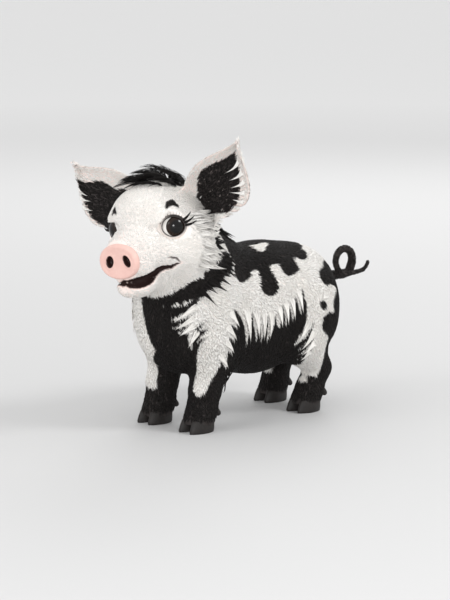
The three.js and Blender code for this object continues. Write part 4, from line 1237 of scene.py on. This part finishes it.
# Each row of locks grows from the line between two places. Its locks lie along the skin, fan out across
# the row, rise to lift above it on their way and end at stand above it. Rows of the head are in its frame,
# and a pair is repeated on the right side. Dark is 1 for black hair and 0 for white.
LOCK_COLUMNS = (
    "in_head", "pair", "from", "to", "count", "strands", "lie", "fan", "length", "width", "lift", "stand",
    "dark",
)
LOCK_TABLE = [
    # the forelock
    (1, 0, [-27, -20, 45], [38, -26, 42], 9, 34, [-0.5, 0.7, 0.35], 0.15, 37, 8.0, 11, 17, 1),
    (1, 0, [-24, -4, 51], [38, -8, 47], 9, 34, [-0.5, 0.75, 0.25], 0.15, 32, 7.5, 8, 12, 1),
    (1, 0, [-14, 8, 51], [26, 6, 50], 6, 26, [-0.45, 0.8, 0.1], 0.15, 25, 6.0, 3.5, 5.0, 1),
    # the cheeks, and the dark hair behind them
    (1, 1, [55, 6, 10], [50, 4, -56], 9, 34, [0.1, -0.85, -0.45], 0.25, 42, 8.0, 4, 7, 0),
    (1, 1, [56, -10, 8], [50, -10, -56], 9, 34, [0.1, -0.85, -0.45], 0.25, 36, 7.5, 4.5, 8, 0),
    (1, 1, [50, -26, 6], [46, -30, -50], 9, 30, [0.15, -0.85, -0.3], 0.2, 34, 7.0, 4, 7, 1),
    # the mane
    (0, 0, [12, -97, 308], [4, -62, 240], 9, 34, [0, 0.7, -0.6], 0, 38, 9.0, 8, 11, 1),
    (0, 1, [26, -94, 292], [24, -58, 232], 8, 34, [0.1, 0.7, -0.6], 0, 34, 8.5, 6, 9, 1),
    (0, 0, [4, -54, 232], [3, -24, 220], 4, 30, [0, 0.95, -0.1], 0, 34, 9.0, 5, 6, 1),
    # the neck's side and the elbow
    (0, 1, [50, -104, 178], [46, -52, 214], 9, 30, [0.1, 0.75, -0.6], 0.1, 30, 7.0, 4, 5, 1),
    (0, 1, [58, -58, 88], [50, -66, 58], 4, 26, [0.05, 0.5, -0.8], 0.1, 24, 5.5, 3, 4.5, 1),
]
LOCK_ROWS = [dict(zip(LOCK_COLUMNS, row)) for row in LOCK_TABLE]
# Pale locks of their own, each from its root to its tip, with its width. The first are the flank's, then
# the elbow's, the chest's and the stifle's.
PALE_LOCKS = [
    ([61, -29, 146], [53, -22, 98], 13), ([62, -13, 142], [56, -8, 103], 11),
    ([62, 0, 140], [56, 0, 101], 10), ([63, 13, 140], [57, 9, 100], 10),
    ([63, 26, 143], [61, 27, 116], 9), ([64, 37, 147], [62, 37, 118], 9),
    ([64, 48, 151], [63, 48, 123], 9), ([61, 61, 160], [64, 61, 130], 8),
    ([66, -62, 146], [66, -46, 124], 9), ([68, -68, 130], [66, -51, 108], 9),
    ([68, -71, 113], [64, -55, 93], 8), ([66, -78, 96], [65, -67, 77], 7),
    ([57, -108, 158], [32, -129, 140], 9), ([56, -110, 145], [34, -127, 131], 8),
    ([56, -110, 136], [39, -123, 124], 8), ([57, -106, 128], [48, -117, 108], 8),
    ([69, 72, 120], [60, 52, 91], 9), ([71, 78, 107], [61, 57, 84], 8),
    ([71, 77, 94], [60, 60, 78], 7), ([69, 73, 83], [56, 64, 72], 6),
]
PALE_LOCK = {"strands": 46, "lift": 2.6, "stand": 3.2}
LOCK_RINGS = 5
LOCK_RISE = 0.45  # the share of its length over which a lock rises to its lift
STRAND_WIDTH = 0.42
LOCK_TAPER = np.array([0.8, 1.0, 1.0, 0.85, 0.6])
LOCK_NARROWS = 0.94  # how much narrower a lock is at its tip
LOCK_BEND = 2.5  # how far aside a lock's tip bends
ROOT_DEPTH = 1.0  # how deep in the skin a strand starts


def lock_narrow(t):
    """A lock's share of its width, from root to tip."""
    return 1 - LOCK_NARROWS * t**1.1


def lock_widths(count):
    return STRAND_WIDTH * LOCK_TAPER[None] * np.ones((count, 1))


# How much the locks of a row differ: place along the row, way to lie, length and rise. And their strands:
# how far back they start, how much shorter they are aside, and how high they lie.
LOCK_STRAY = {"place": 0.22, "lie": 0.08, "long": (0.75, 1.2), "loft": (0.75, 1.3)}
STRAND_STRAY = {"back": (-0.16, 0.10), "aside": 0.42, "short": 0.12, "high": (0.6, 1.25)}
PALE_STRAY = {"back": (-0.2, 0.02), "aside": 0.3, "short": 0.1, "high": (0.5, 1.2)}
EAR_STRAY = {"aside": 0.35, "short": 0.12}
PALE_BEND = 1.1
LOCK_SEED, PALE_SEED, EAR_SEED = 71, 83, 37


def strand_reach(draw, spread, stray):
    """The share of its lock's length that each strand reaches: less at the lock's sides."""
    return 1 - stray["aside"] * np.abs(spread) ** 1.5 - draw.uniform(0, stray["short"], spread.shape)


def row_strands(row, side):
    """Root places, ways to lie and their own numbers for every strand of one row of locks."""
    draw = np.random.default_rng(LOCK_SEED + int(100 * abs(row["from"][1])))
    a, b = mirrored(row["from"], side), mirrored(row["to"], side)
    across = unit(b - a)
    count, strands = row["count"], row["strands"]
    t = (np.arange(count) + 0.5 + LOCK_STRAY["place"] * draw.uniform(-1, 1, count)) / count
    place = a + t[:, None] * (b - a)
    lie = mirrored(row["lie"], side) + across * (row["fan"] * (2 * t - 1))[:, None]
    lie = lie + across * LOCK_STRAY["lie"] * draw.normal(size=(count, 1))
    if row["in_head"]:
        place = from_head(place)
        lie = lie @ HEAD.T
    long = row["length"] * draw.uniform(*LOCK_STRAY["long"], count)
    loft = draw.uniform(*LOCK_STRAY["loft"], count)
    spread = draw.uniform(-1, 1, (count, strands))
    back = draw.uniform(*STRAND_STRAY["back"], (count, strands))
    reach = strand_reach(draw, spread, STRAND_STRAY)
    high = draw.uniform(*STRAND_STRAY["high"], (count, strands))
    bend = draw.normal(size=(count, 1)) * np.ones((1, strands))
    tone = np.clip(0.55 + 0.22 * draw.normal(size=(count, strands)), 0, 1)

    def each(of_locks):
        return np.repeat(of_locks, strands, 0)

    made = {
        "place": each(place), "lie": each(unit(lie)), "long": each(long) * reach.ravel(),
        "loft": each(loft), "high": high.ravel(), "spread": spread.ravel(), "back": back.ravel(),
        "bend": bend.ravel(), "tone": tone.ravel(),
    }
    for key in ("width", "lift", "stand", "dark"):
        made[key] = np.full(count * strands, float(row[key]))
    return made


def pale_strands():
    """The same numbers for the strands of the pale locks, on both sides."""
    draw = np.random.default_rng(PALE_SEED)
    strands = PALE_LOCK["strands"]
    lone = [(mirrored(a, s), mirrored(b, s), w) for s in SIDES for a, b, w in PALE_LOCKS]
    root, tip = (np.repeat([lock[k] for lock in lone], strands, 0) for k in (0, 1))
    count = len(root)
    spread = draw.uniform(-1, 1, count)
    reach = strand_reach(draw, spread, PALE_STRAY)
    return {
        "place": root, "lie": unit(tip - root), "long": np.linalg.norm(tip - root, axis=1) * reach,
        "loft": np.ones(count), "high": draw.uniform(*PALE_STRAY["high"], count), "spread": spread,
        "back": draw.uniform(*PALE_STRAY["back"], count), "bend": np.full(count, PALE_BEND),
        "tone": draw.uniform(0.2, 0.9, count),
        "width": np.repeat([float(w) for _, _, w in lone], strands),
        "lift": np.full(count, PALE_LOCK["lift"]), "stand": np.full(count, PALE_LOCK["stand"]),
        "dark": np.zeros(count),
    }


def lock_strands(rows):
    """Every strand of the locks, laid along the skin ring by ring."""
    parts = [row_strands(row, side) for row in rows for side in SIDES[: 1 + row["pair"]]]
    parts.append(pale_strands())
    s = {key: np.concatenate([part[key] for part in parts]) for key in parts[0]}
    skin = on_surface(skin_field, s["place"], 6, 6)
    out = unit(slope_of(skin_field, skin))
    along = unit(s["lie"] - (s["lie"] * out).sum(1, keepdims=True) * out)
    across = np.cross(out, along)
    line = []
    for ring in range(LOCK_RINGS + 1):
        t = ring / LOCK_RINGS
        sideways = s["spread"] * s["width"] * 0.5 * lock_narrow(t) + s["bend"] * LOCK_BEND * t * t
        reach = s["long"] * (t + s["back"] * (1 - t))
        p = skin + along * reach[:, None] + across * sideways[:, None]
        p = on_surface(skin_field, p, 4, 8)
        normal = unit(slope_of(skin_field, p))
        rise = s["lift"] * np.sin(np.pi / 2 * t / LOCK_RISE)
        later = s["lift"] + (s["stand"] - s["lift"]) * (t - LOCK_RISE) / (1 - LOCK_RISE)
        gathered = s["high"] + (1 - s["high"]) * t
        height = (rise if t < LOCK_RISE else later) * s["loft"] * gathered
        if ring == 0:
            height = height - ROOT_DEPTH
        line.append(p + normal * height[:, None])
    wide = lock_widths(len(out))
    return Strands(np.stack(line, 1), out, wide, 0.8 * wide, s["dark"], s["tone"])


# Pale hair that reaches from each ear's rim over its dark inside: the ear's side, the places of root and
# tip on it, as shares of its length and half width, and the width of the lock.
EAR_LOCKS = [
    (1, (0.72, -0.32), (0.46, 0.10), 6.0), (1, (0.64, -0.55), (0.40, -0.10), 6.0),
    (1, (0.55, -0.66), (0.34, -0.26), 5.5), (1, (0.45, -0.78), (0.29, -0.32), 5.0),
    (1, (0.36, -0.90), (0.25, -0.52), 4.5), (1, (-0.14, 0.20), (0.08, 0.26), 8.0),
    (-1, (0.76, -0.95), (0.64, -0.55), 4.5), (-1, (0.70, -0.98), (0.58, -0.55), 4.5),
    (-1, (0.62, -1.0), (0.50, -0.70), 4.5),
]
EAR_LOCK_STRANDS = 40


def ear_locks():
    """The strands of the ears' pale locks, laid over the inside of each ear."""
    draw = np.random.default_rng(EAR_SEED)
    count = EAR_LOCK_STRANDS
    parts = []
    for side, root, tip, width in EAR_LOCKS:
        spread = draw.uniform(-1, 1, count)
        reach = strand_reach(draw, spread, EAR_STRAY)
        way = np.array([(tip[0] - root[0]) * EAR["length"], (tip[1] - root[1]) * EAR["width"] / 2])
        aside = np.array([-way[1], way[0]]) / np.linalg.norm(way)
        line = []
        for t in np.linspace(0, 1, LOCK_RINGS + 1):
            off = spread * width / 2 * lock_narrow(t)
            u = root[0] + (tip[0] - root[0]) * t * reach + off * aside[0] / EAR["length"]
            w = root[1] + (tip[1] - root[1]) * t * reach + off * aside[1] / (EAR["width"] / 2)
            height = EAR["thickness"] / 2 + 2.2 * math.sin(math.pi * min(t + 0.1, 0.75))
            line.append(ear_point(u, side * w, side) + height * ear_frame(side)[:, 1])
        parts.append(from_head(np.stack(line, 1)))
    line = np.concatenate(parts)
    out = np.repeat([head_direction(ear_frame(side)[:, 1]) for side, *_ in EAR_LOCKS], count, 0)
    wide = lock_widths(len(line))
    return Strands(line, out, wide, 0.8 * wide, np.zeros(len(line)), draw.uniform(0.5, 1.0, len(line)))


# ---- Head pieces ---------------------------------------------------------------------------------------


def grid_faces(rows, columns):
    """Quads of a grid of rows by columns, with its columns in a ring."""
    r, c = np.meshgrid(np.arange(rows - 1), np.arange(columns), indexing="ij")
    r, c = r.ravel(), c.ravel()
    n = (c + 1) % columns
    return np.column_stack([r * columns + c, r * columns + n, (r + 1) * columns + n, (r + 1) * columns + c])


EYE_LOOK = (0.36, 0.03)  # how far the pupils look aside and up from the openings' middles


def eyes(material):
    """The eyeballs: rings about the way that each eye looks, with their angle from it for the material."""
    rings, columns = 60, 72
    for side, word in SIDE_WORDS.items():
        look = eye_frame(side) @ unit([side * EYE_LOOK[0], 1.0, EYE_LOOK[1]])
        first = unit(np.cross(look, [0, 0, 1]))
        second = np.cross(first, look)
        angle = np.linspace(0.002, np.pi - 0.002, rings)
        a, b = np.meshgrid(angle, circle(columns), indexing="ij")
        ball = (
            np.cos(a)[..., None] * look
            + (np.sin(a) * np.cos(b))[..., None] * first
            + (np.sin(a) * np.sin(b))[..., None] * second
        )
        local = mirrored(EYE["at"], side) + EYE["radius"] * ball.reshape(-1, 3)
        faces = grid_faces(rings, columns)[:, ::-side]
        value = {"angle": np.repeat(angle / (np.pi / 2), columns)}
        piece = mesh_object("eyeball_" + word, from_head(local), faces, value)
        dress(piece, "eye", material, "eye_" + word)


# Rows of a lid, from under it, round its margin and out to the face: angle past its edge, height over the
# eye, and how dark it is.
LID_ROWS = [
    (9, 0.1, 1.0), (1, 0.15, 1.0), (-1.2, 0.6, 1.0), (-0.8, 1.2, 1.0), (1.5, 1.9, 1.0), (4.5, 2.3, 1.0),
    (8, 2.5, 0.9), (12, 2.4, 0.2), (16, 1.9, 0.0), (20, 1.5, 0.0),
]
# The last rows of a lid: the same angle, and the height over the skin.
LID_SKIN_ROWS = [(26, 0.5), (33, 0.1), (40, -0.8)]


def eye_direction(angle, around):
    """A direction in an eye's own frame, by the angle from its gaze and the angle around it."""
    return np.stack([np.sin(angle) * np.cos(around), np.cos(angle), np.sin(angle) * np.sin(around)], -1)


def lids(material):
    """A rim of skin round each eye, dark above and outside."""
    columns = 96
    around = circle(columns)
    for side, word in SIDE_WORDS.items():
        basis = eye_frame(side)
        centre = mirrored(EYE["at"], side)

        def row(more, height):
            local = eye_direction(lid_edge(around) + math.radians(more), around)
            return centre + (EYE["radius"] + height) * local @ basis.T

        rows = [from_head(row(more, height)) for more, height, _ in LID_ROWS]
        for more, height in LID_SKIN_ROWS:
            rows.append(on_surface(skin_field, from_head(row(more, 1.5)), 5, 3, height))
        thick = np.clip(0.45 + 0.6 * np.sin(around) + 0.35 * side * np.cos(around), 0, 1)
        thin = 0.25 + 0.75 * thick
        dark = [d * (1 if more < 0 else thin if more < 4 else thick) for more, _, d in LID_ROWS]
        dark += [0 * thick] * len(LID_SKIN_ROWS)
        value = {"edge": np.concatenate([d * np.ones(columns) for d in dark])}
        faces = grid_faces(len(rows), columns)[:, ::-side]
        piece = mesh_object("lids_" + word, np.concatenate(rows), faces, value)
        dress(piece, "coat", material)


# The stout lashes at the outer corner and the short ones: angle around the eye, length, and half the width.
STOUT_LASHES = [(4, 15, 1.8), (17, 14, 1.8), (31, 12.5, 1.8)]
SHORT_LASHES = [(degrees, 4.0, 0.4) for degrees in range(46, 166, 13)]
LASH_TAPER = np.array([1.0, 0.95, 0.8, 0.6, 0.35])


def lashes(material):
    """A few stout lashes at each eye's outer corner and short ones along the upper lid."""
    lines, sizes = [], []
    for side in SIDES:
        basis = eye_frame(side)
        centre = mirrored(EYE["at"], side)
        for degrees, long, stout in STOUT_LASHES + SHORT_LASHES:
            around = math.radians(degrees if side > 0 else 180 - degrees)
            edge = lid_edge(np.array([around]))[0]
            ring = []
            for t in np.linspace(0, 1, LOCK_RINGS + 1):
                angle = edge + 0.06 + 0.35 * t * long / 15
                reach = EYE["radius"] + 1.2 + long * t * (1 - 0.15 * t)
                way = eye_direction(angle, around)
                way[2] += 0.14 * t * t
                ring.append(centre + reach * way @ basis.T)
            lines.append(from_head(np.array(ring)))
            sizes.append(stout)
    line = np.array(lines)
    wide = np.array(sizes)[:, None] * LASH_TAPER
    out = unit(np.cross(line[:, 1] - line[:, 0], [0.0, 0.0, 1.0]))
    ones = np.ones(len(line))
    strands = Strands(line, out, wide, 0.9 * wide, ones, 0.2 * ones)
    strand_object("lashes", strands, "coat", material)


NOSTRIL = {"x": 13.2, "aside": 1.4, "rise": 1.0, "slant": 24.0, "depth": 6.0}
NOSTRIL_HALF = (5.0, 7.1)  # half its width and half its height
# Rows of the disc from its back round the rim: share of the size, and how far ahead of the disc's start.
NOSE_RIM = [
    (0.80, -2.5), (0.90, -0.5), (0.965, 1.2), (1.0, 3.2), (1.0, 5.4), (0.985, 7.2), (0.955, 8.5),
    (0.915, 9.2), (0.87, 9.4),
]
NOSE_DISH = 1.3
NOSE_LEAN = 0.05  # the disc's top leans back by this much of its height
NOSTRIL_RIM = 0.7  # the swelling round each nostril


def nose(material):
    """The flat disc of the nose: a rolled rim, a slightly dished face and two slanted nostrils."""
    columns = 128
    around = circle(columns)
    edge, front = NOSE_RIM[-1]
    face = [(s, front - NOSE_DISH * (1 - (s / edge) ** 2)) for s in np.linspace(0.845, 0.004, 40)]
    rows, pits = [], []
    for share, ahead in NOSE_RIM + face:
        x = NOSE_DISC["half_width"] * share * np.cos(around)
        z = NOSE_DISC["half_height"] * share * np.sin(around) * (1 + 0.05 * np.cos(2 * around))
        y = np.full(columns, ahead + 1.0)
        pit = np.zeros(columns)
        if share < edge:
            for side in SIDES:
                a = side * math.radians(NOSTRIL["slant"])
                dx, dz = x - side * NOSTRIL["x"] - NOSTRIL["aside"], z - NOSTRIL["rise"]
                near = np.hypot(
                    (dx * math.cos(a) + dz * math.sin(a)) / NOSTRIL_HALF[0],
                    (dz * math.cos(a) - dx * math.sin(a)) / NOSTRIL_HALF[1],
                )
                rim = NOSTRIL_RIM * np.exp(-(((near - 1.25) / 0.22) ** 2))
                y = y - NOSTRIL["depth"] * smoothstep(1.08, 0.62, near) + rim
                # Painted shade: the nostrils' pits are dark.
                pit = np.maximum(pit, smoothstep(1.14, 1.04, near))
        rows.append(np.column_stack([NOSE_DISC["aside"] + x, SNOUT_F + y - NOSE_LEAN * z, SNOUT_U + z]))
        pits.append(pit)
    faces = grid_faces(len(rows), columns)
    piece = mesh_object("nose_disc", from_head(np.concatenate(rows)), faces, {"pit": np.concatenate(pits)})
    dress(piece, "nose", material, "snout")


# ---- Tail ----------------------------------------------------------------------------------------------


def tail_line():
    """The middle of the tail: back from its root, round a loop that narrows and moves aside, and on."""
    x, y, z = TAIL["root"]
    first, turn = TAIL_LOOP["from"], TAIL_LOOP["turn"]
    points = [[x, y - 8, z - 1], [x, y + 6, z - 1]]
    for turned in range(first, first + turn + 1, TAIL_LOOP["step"]):
        share = (turned - first) / turn
        a = math.radians(turned)
        r = TAIL["loop"] * (1 - TAIL_LOOP["closer"] * share)
        back, up = 1.1 * r * math.cos(a), r * math.sin(a)
        aside = TAIL_LOOP["aside"] * share
        points.append([x + aside, y + TAIL_LOOP["back"] + back, z + TAIL_LOOP["up"] + up])
    points += [[x + aside, y + back, z + up] for aside, back, up in TAIL_END]
    return curve_through(points, 120)


TAIL_TUFTS = {"count": 1500, "shortest": 3.5, "longest": 6.0, "wide": 0.45}
TAIL_SKIN = 0.7  # how deep the tail's skin lies in its solid


def tail(skin):
    """The tail's skin and its hair: short tufts that lie towards its tip."""
    line = tail_line()
    share = np.linspace(0, 1, len(line))
    radius = TAIL["radius"] * (1 - (1 - TAIL["tip"]) * share**1.2) - TAIL_SKIN
    radius[-1] = 0.1
    along = unit(np.gradient(line, axis=0))
    first, second = crossways(along, [1.0, 0.01, 0.0])
    columns = 20
    ring = spun(circle(columns), first[:, None], second[:, None])
    points = line[:, None] + radius[:, None, None] * ring
    zero = np.zeros(points.shape[0] * columns)
    values = {"dark": zero + 1, "pink": zero, "mouth": zero}
    piece = mesh_object("tail_skin", points.reshape(-1, 3), grid_faces(len(line), columns), values)
    dress(piece, "coat", skin, "tail")
    count = TAIL_TUFTS["count"]
    i = rng.integers(6, len(line) - 3, count)
    turned = rng.uniform(0, 2 * np.pi, count)
    out = spun(turned, first[i], second[i])
    root = line[i] + (radius[i] - 0.3)[:, None] * out
    long = rng.uniform(TAIL_TUFTS["shortest"], TAIL_TUFTS["longest"], count) * (1 - 0.4 * share[i])
    steps = np.minimum(i + 1 + (long / 3).astype(int), len(line) - 1)
    mid = line[i] + 0.5 * long[:, None] * along[i] + (radius[i] + 0.5)[:, None] * out
    tip = line[steps] + along[steps] * 0.3 * long[:, None] + (radius[steps] + 0.6)[:, None] * out
    wide = np.full((count, 2), TAIL_TUFTS["wide"])
    tone = rng.uniform(0.3, 0.9, count)
    return Strands(np.stack([root, mid, tip], 1), out, wide, 0.5 * wide, np.ones(count), tone)


# ---- Hooves --------------------------------------------------------------------------------------------

CLAW = {"half_width": 10.3, "half_length": 20.0, "height": CORONET_Z - 0.3, "cleft": 2.0, "columns": 40}
CLAW_FLAT = 0.72  # the inner side's share of the half width
CLAW_SPLAY = 4.0
# Rows of a claw's wall: height, size, and how far back it leans.
CLAW_ROWS = [
    (0.0, 0.90, 0.0), (0.0, 0.955, 0.0), (0.05, 0.985, 0.0), (0.14, 1.0, 0.05), (0.35, 0.985, 0.8),
    (0.6, 0.95, 1.6), (0.8, 0.91, 2.5), (0.93, 0.88, 3.1), (1.0, 0.83, 3.4), (1.0, 0.5, 3.4),
]


def claw_points(leg, way):
    """One claw of a foot: a wall that narrows to the toe and is flatter towards the cleft."""
    foot = joint_place(leg, leg[1][-1][0])
    centre = foot[:2] + [way * (CLAW["half_width"] * CLAW_FLAT + CLAW["cleft"] / 2), -4]
    a = circle(CLAW["columns"])
    toe = np.maximum(-np.sin(a), 0)
    inner = np.where(np.cos(a) < 0, CLAW_FLAT, 1)
    t = math.radians(-way * CLAW_SPLAY)
    rows = []
    for z, grow, back in CLAW_ROWS:
        x = way * CLAW["half_width"] * grow * np.cos(a) * inner * (1 - 0.34 * toe * toe)
        y = CLAW["half_length"] * grow * np.sin(a) + back
        rows.append(
            np.column_stack([
                centre[0] + x * math.cos(t) + y * math.sin(t),
                centre[1] - x * math.sin(t) + y * math.cos(t),
                np.full(len(a), z * CLAW["height"]),
            ])
        )
    return np.concatenate(rows), grid_faces(len(rows), len(a))


def capped(points, faces, columns):
    """Closes the first and last ring of a grid with a fan, as quads that meet in a middle point."""
    n = len(points)
    j = np.arange(0, columns, 2)
    next_one, next_two = (j + 1) % columns, (j + 2) % columns
    top = n - columns
    first = np.column_stack([j, np.full(len(j), n), next_two, next_one])
    second = np.column_stack([top + j, top + next_one, top + next_two, np.full(len(j), n + 1)])
    points = np.vstack([points, points[:columns].mean(0), points[-columns:].mean(0)])
    return points, np.concatenate([faces, first, second])


# Rows of a dewclaw: share of the way from its root to its tip, and radius.
DEWCLAW_ROWS = [(0, 4.6), (0.3, 4.6), (0.6, 4.2), (0.8, 3.6), (0.93, 2.6), (1.0, 1.1), (1.0, 0.05)]


def dewclaw_points(leg, way):
    """One dewclaw: a blunt cone behind and above the claws."""
    fetlock = joint_place(leg, leg[1][-2][0])
    root = fetlock + [way * 8, 11, 1]
    tip = fetlock + [way * 10, 20, -9]
    first, second = crossways(unit(tip - root), [1.0, 0.0, 0.0])
    columns = 20
    ring = spun(circle(columns), first, second)
    rows = [root + t * (tip - root) + size * ring for t, size in DEWCLAW_ROWS]
    return np.concatenate(rows), grid_faces(len(rows), columns)


def hooves(material):
    for leg in LEGS:
        for word, way in (("outer", leg[2]), ("inner", -leg[2])):
            points, faces = capped(*claw_points(leg, way), CLAW["columns"])
            name = f"{leg[0]}_claw_{word}"
            dress(mesh_object("horn_" + name, points, faces[:, ::way]), "hoof", material, name)
            name = f"{leg[0]}_dewclaw_{word}"
            dress(mesh_object("horn_" + name, *dewclaw_points(leg, way)), "hoof", material, name)


# ---- Skin ----------------------------------------------------------------------------------------------

SKIN_NODES = [
    "head", "lower_jaw", "neck", "torso", "ear_left", "ear_right",
    "foreleg_left", "foreleg_right", "hindleg_left", "hindleg_right",
]


PINK = {"muzzle": 0.3, "ears": 0.35, "lips": 0.35}  # how pink the skin is there
MUZZLE_FROM, MUZZLE_FULL = 45, 78


def skin_values(points):
    """The skin's numbers: how dark it is, how pink, and the painted shade in the mouth's gap and the
    smile's creases.
    """
    q = to_head(points)
    dark = dark_at(points)
    head = head_field(points)
    near = (q[:, 1] > -10) & (q[:, 2] < 20) & (head < 10)
    gap = np.full(len(points), FAR)
    gap[near] = mouth_gap(q[near])
    crease = crease_field(folded(q))
    muzzle = smoothstep(MUZZLE_FROM, MUZZLE_FULL, q[:, 1]) * smoothstep(10, 0, head)
    pink = PINK["muzzle"] * muzzle + PINK["ears"] * both_ears(q) + PINK["lips"] * smoothstep(3, 1, gap)
    # Painted shade: dark in the mouth's gap and the smile's creases.
    mouth = np.maximum(smoothstep(0.9, 0.1, gap), 0.9 * smoothstep(0.7, 0.0, crease))
    return {"dark": dark, "pink": np.clip(pink, 0, 1), "mouth": mouth}


def skin(material):
    """The one skin over all the flesh. Gives its points and quads, for the coat to grow on."""
    points, quads = surface_net(skin_field, SKIN_GRID)
    points = on_surface(skin_field, points, 2, 0.6)
    points = relaxed(points, quads, skin_field, 2)
    piece = mesh_object("skin", points, quads, skin_values(points))
    dress(piece, "coat", material, *SKIN_NODES)
    return points, quads


# ---- Studio --------------------------------------------------------------------------------------------

# The lamps: place in metres, width in metres, and power in watts. They face the pig's middle.
LAMPS = {
    "key": ((1.97, 1.04, 2.03), 0.9, 30),
    "front": ((2.4, -2.3, 0.75), 0.9, 34),
    "face": ((-0.4, -2.6, 1.6), 1.4, 16),
    "rim": ((-1.6, 2.0, 1.8), 1.4, 14),
}
MIDDLE = (0.0, 0.0, 0.16)
AIR = rgba(0.87, 0.87, 0.87)
# Painted light: the floor is darker near the middle and paler far off, to even out the lamps' light on it.
FLOOR_NEAR, FLOOR_FAR = rgba(0.56, 0.56, 0.56), rgba(0.85, 0.85, 0.85)
FLOOR_FADE = 5.0  # how far from the middle the floor has its paler tone, m


def aimed(name, data, place, target):
    """A lamp or camera at a place, turned to a target."""
    made = placed(name, data)
    made.location = place
    made.rotation_euler = Vector(np.subtract(target, place)).to_track_quat("-Z", "Y").to_euler()
    return made


def camera():
    a, e = math.radians(CAMERA["azimuth"]), math.radians(CAMERA["elevation"])
    away = np.array([math.sin(a) * math.cos(e), -math.cos(a) * math.cos(e), math.sin(e)])
    right = np.array([math.cos(a), math.sin(a), 0.0])
    above = np.cross(away, right)
    data = bpy.data.cameras.new("camera")
    data.lens = CAMERA["lens"]
    data.sensor_fit = "VERTICAL"
    data.sensor_height = SENSOR
    target = to_frame(FRAMING[0] * right + FRAMING[1] * above)
    bpy.context.scene.camera = aimed("camera", data, to_frame(CAMERA["distance"] * away), target)


def lamps():
    for name, (place, width, power) in LAMPS.items():
        light = bpy.data.lights.new(name, "AREA")
        light.shape = "DISK"
        light.size = width
        light.energy = power
        aimed(name, light, place, MIDDLE)


def surroundings():
    """Plain pale air all round, without a view transform's colours."""
    world = bpy.data.worlds.new("studio")
    world.use_nodes = True
    world.node_tree.nodes["Background"].inputs["Color"].default_value = AIR
    world.node_tree.nodes["Background"].inputs["Strength"].default_value = 1.0
    bpy.context.scene.world = world
    bpy.context.scene.view_settings.view_transform = "Standard"


def floor_plane():
    """A plain floor that is darker near the middle and paler far from it: painted light for the lamps'
    fall-off.
    """
    bpy.ops.mesh.primitive_plane_add(size=30, location=(0, 0, 0))
    floor = bpy.context.object
    floor.name = "floor"
    n = Nodes("floor")
    distance = n.add("ShaderNodeVectorMath", i0=n.add("ShaderNodeTexCoord").outputs["Object"])
    distance.operation = "LENGTH"
    # Painted light: paler with distance from the middle, where the lamps reach less.
    away = n.math("MULTIPLY", distance.outputs["Value"], 1 / FLOOR_FADE, clamp=True)
    n.surface(n.mix(away, FLOOR_NEAR, FLOOR_FAR), 0.75)
    floor.data.materials.append(n.material)


# ---- Assembly ------------------------------------------------------------------------------------------

camera()
lamps()
surroundings()
floor_plane()
skin_look = skin_material()
coat_look = coat_material()
points, quads = skin(skin_look)
eyes(eye_material())
lids(lid_material())
nose(nose_material())
hooves(hoof_material())
lashes(coat_look)
strand_object("coat_tail", tail(skin_look), "coat", coat_look)

hair = short_coat(points, quads)
for name, mask in coat_regions(hair.line[:, 0]).items():
    strand_object(name, hair.pick(mask), "ear" if name == "coat_ears" else "coat", coat_look)

strand_object("locks", lock_strands(LOCK_ROWS), "coat", coat_look)
strand_object("locks_ears", ear_locks(), "ear", coat_look)
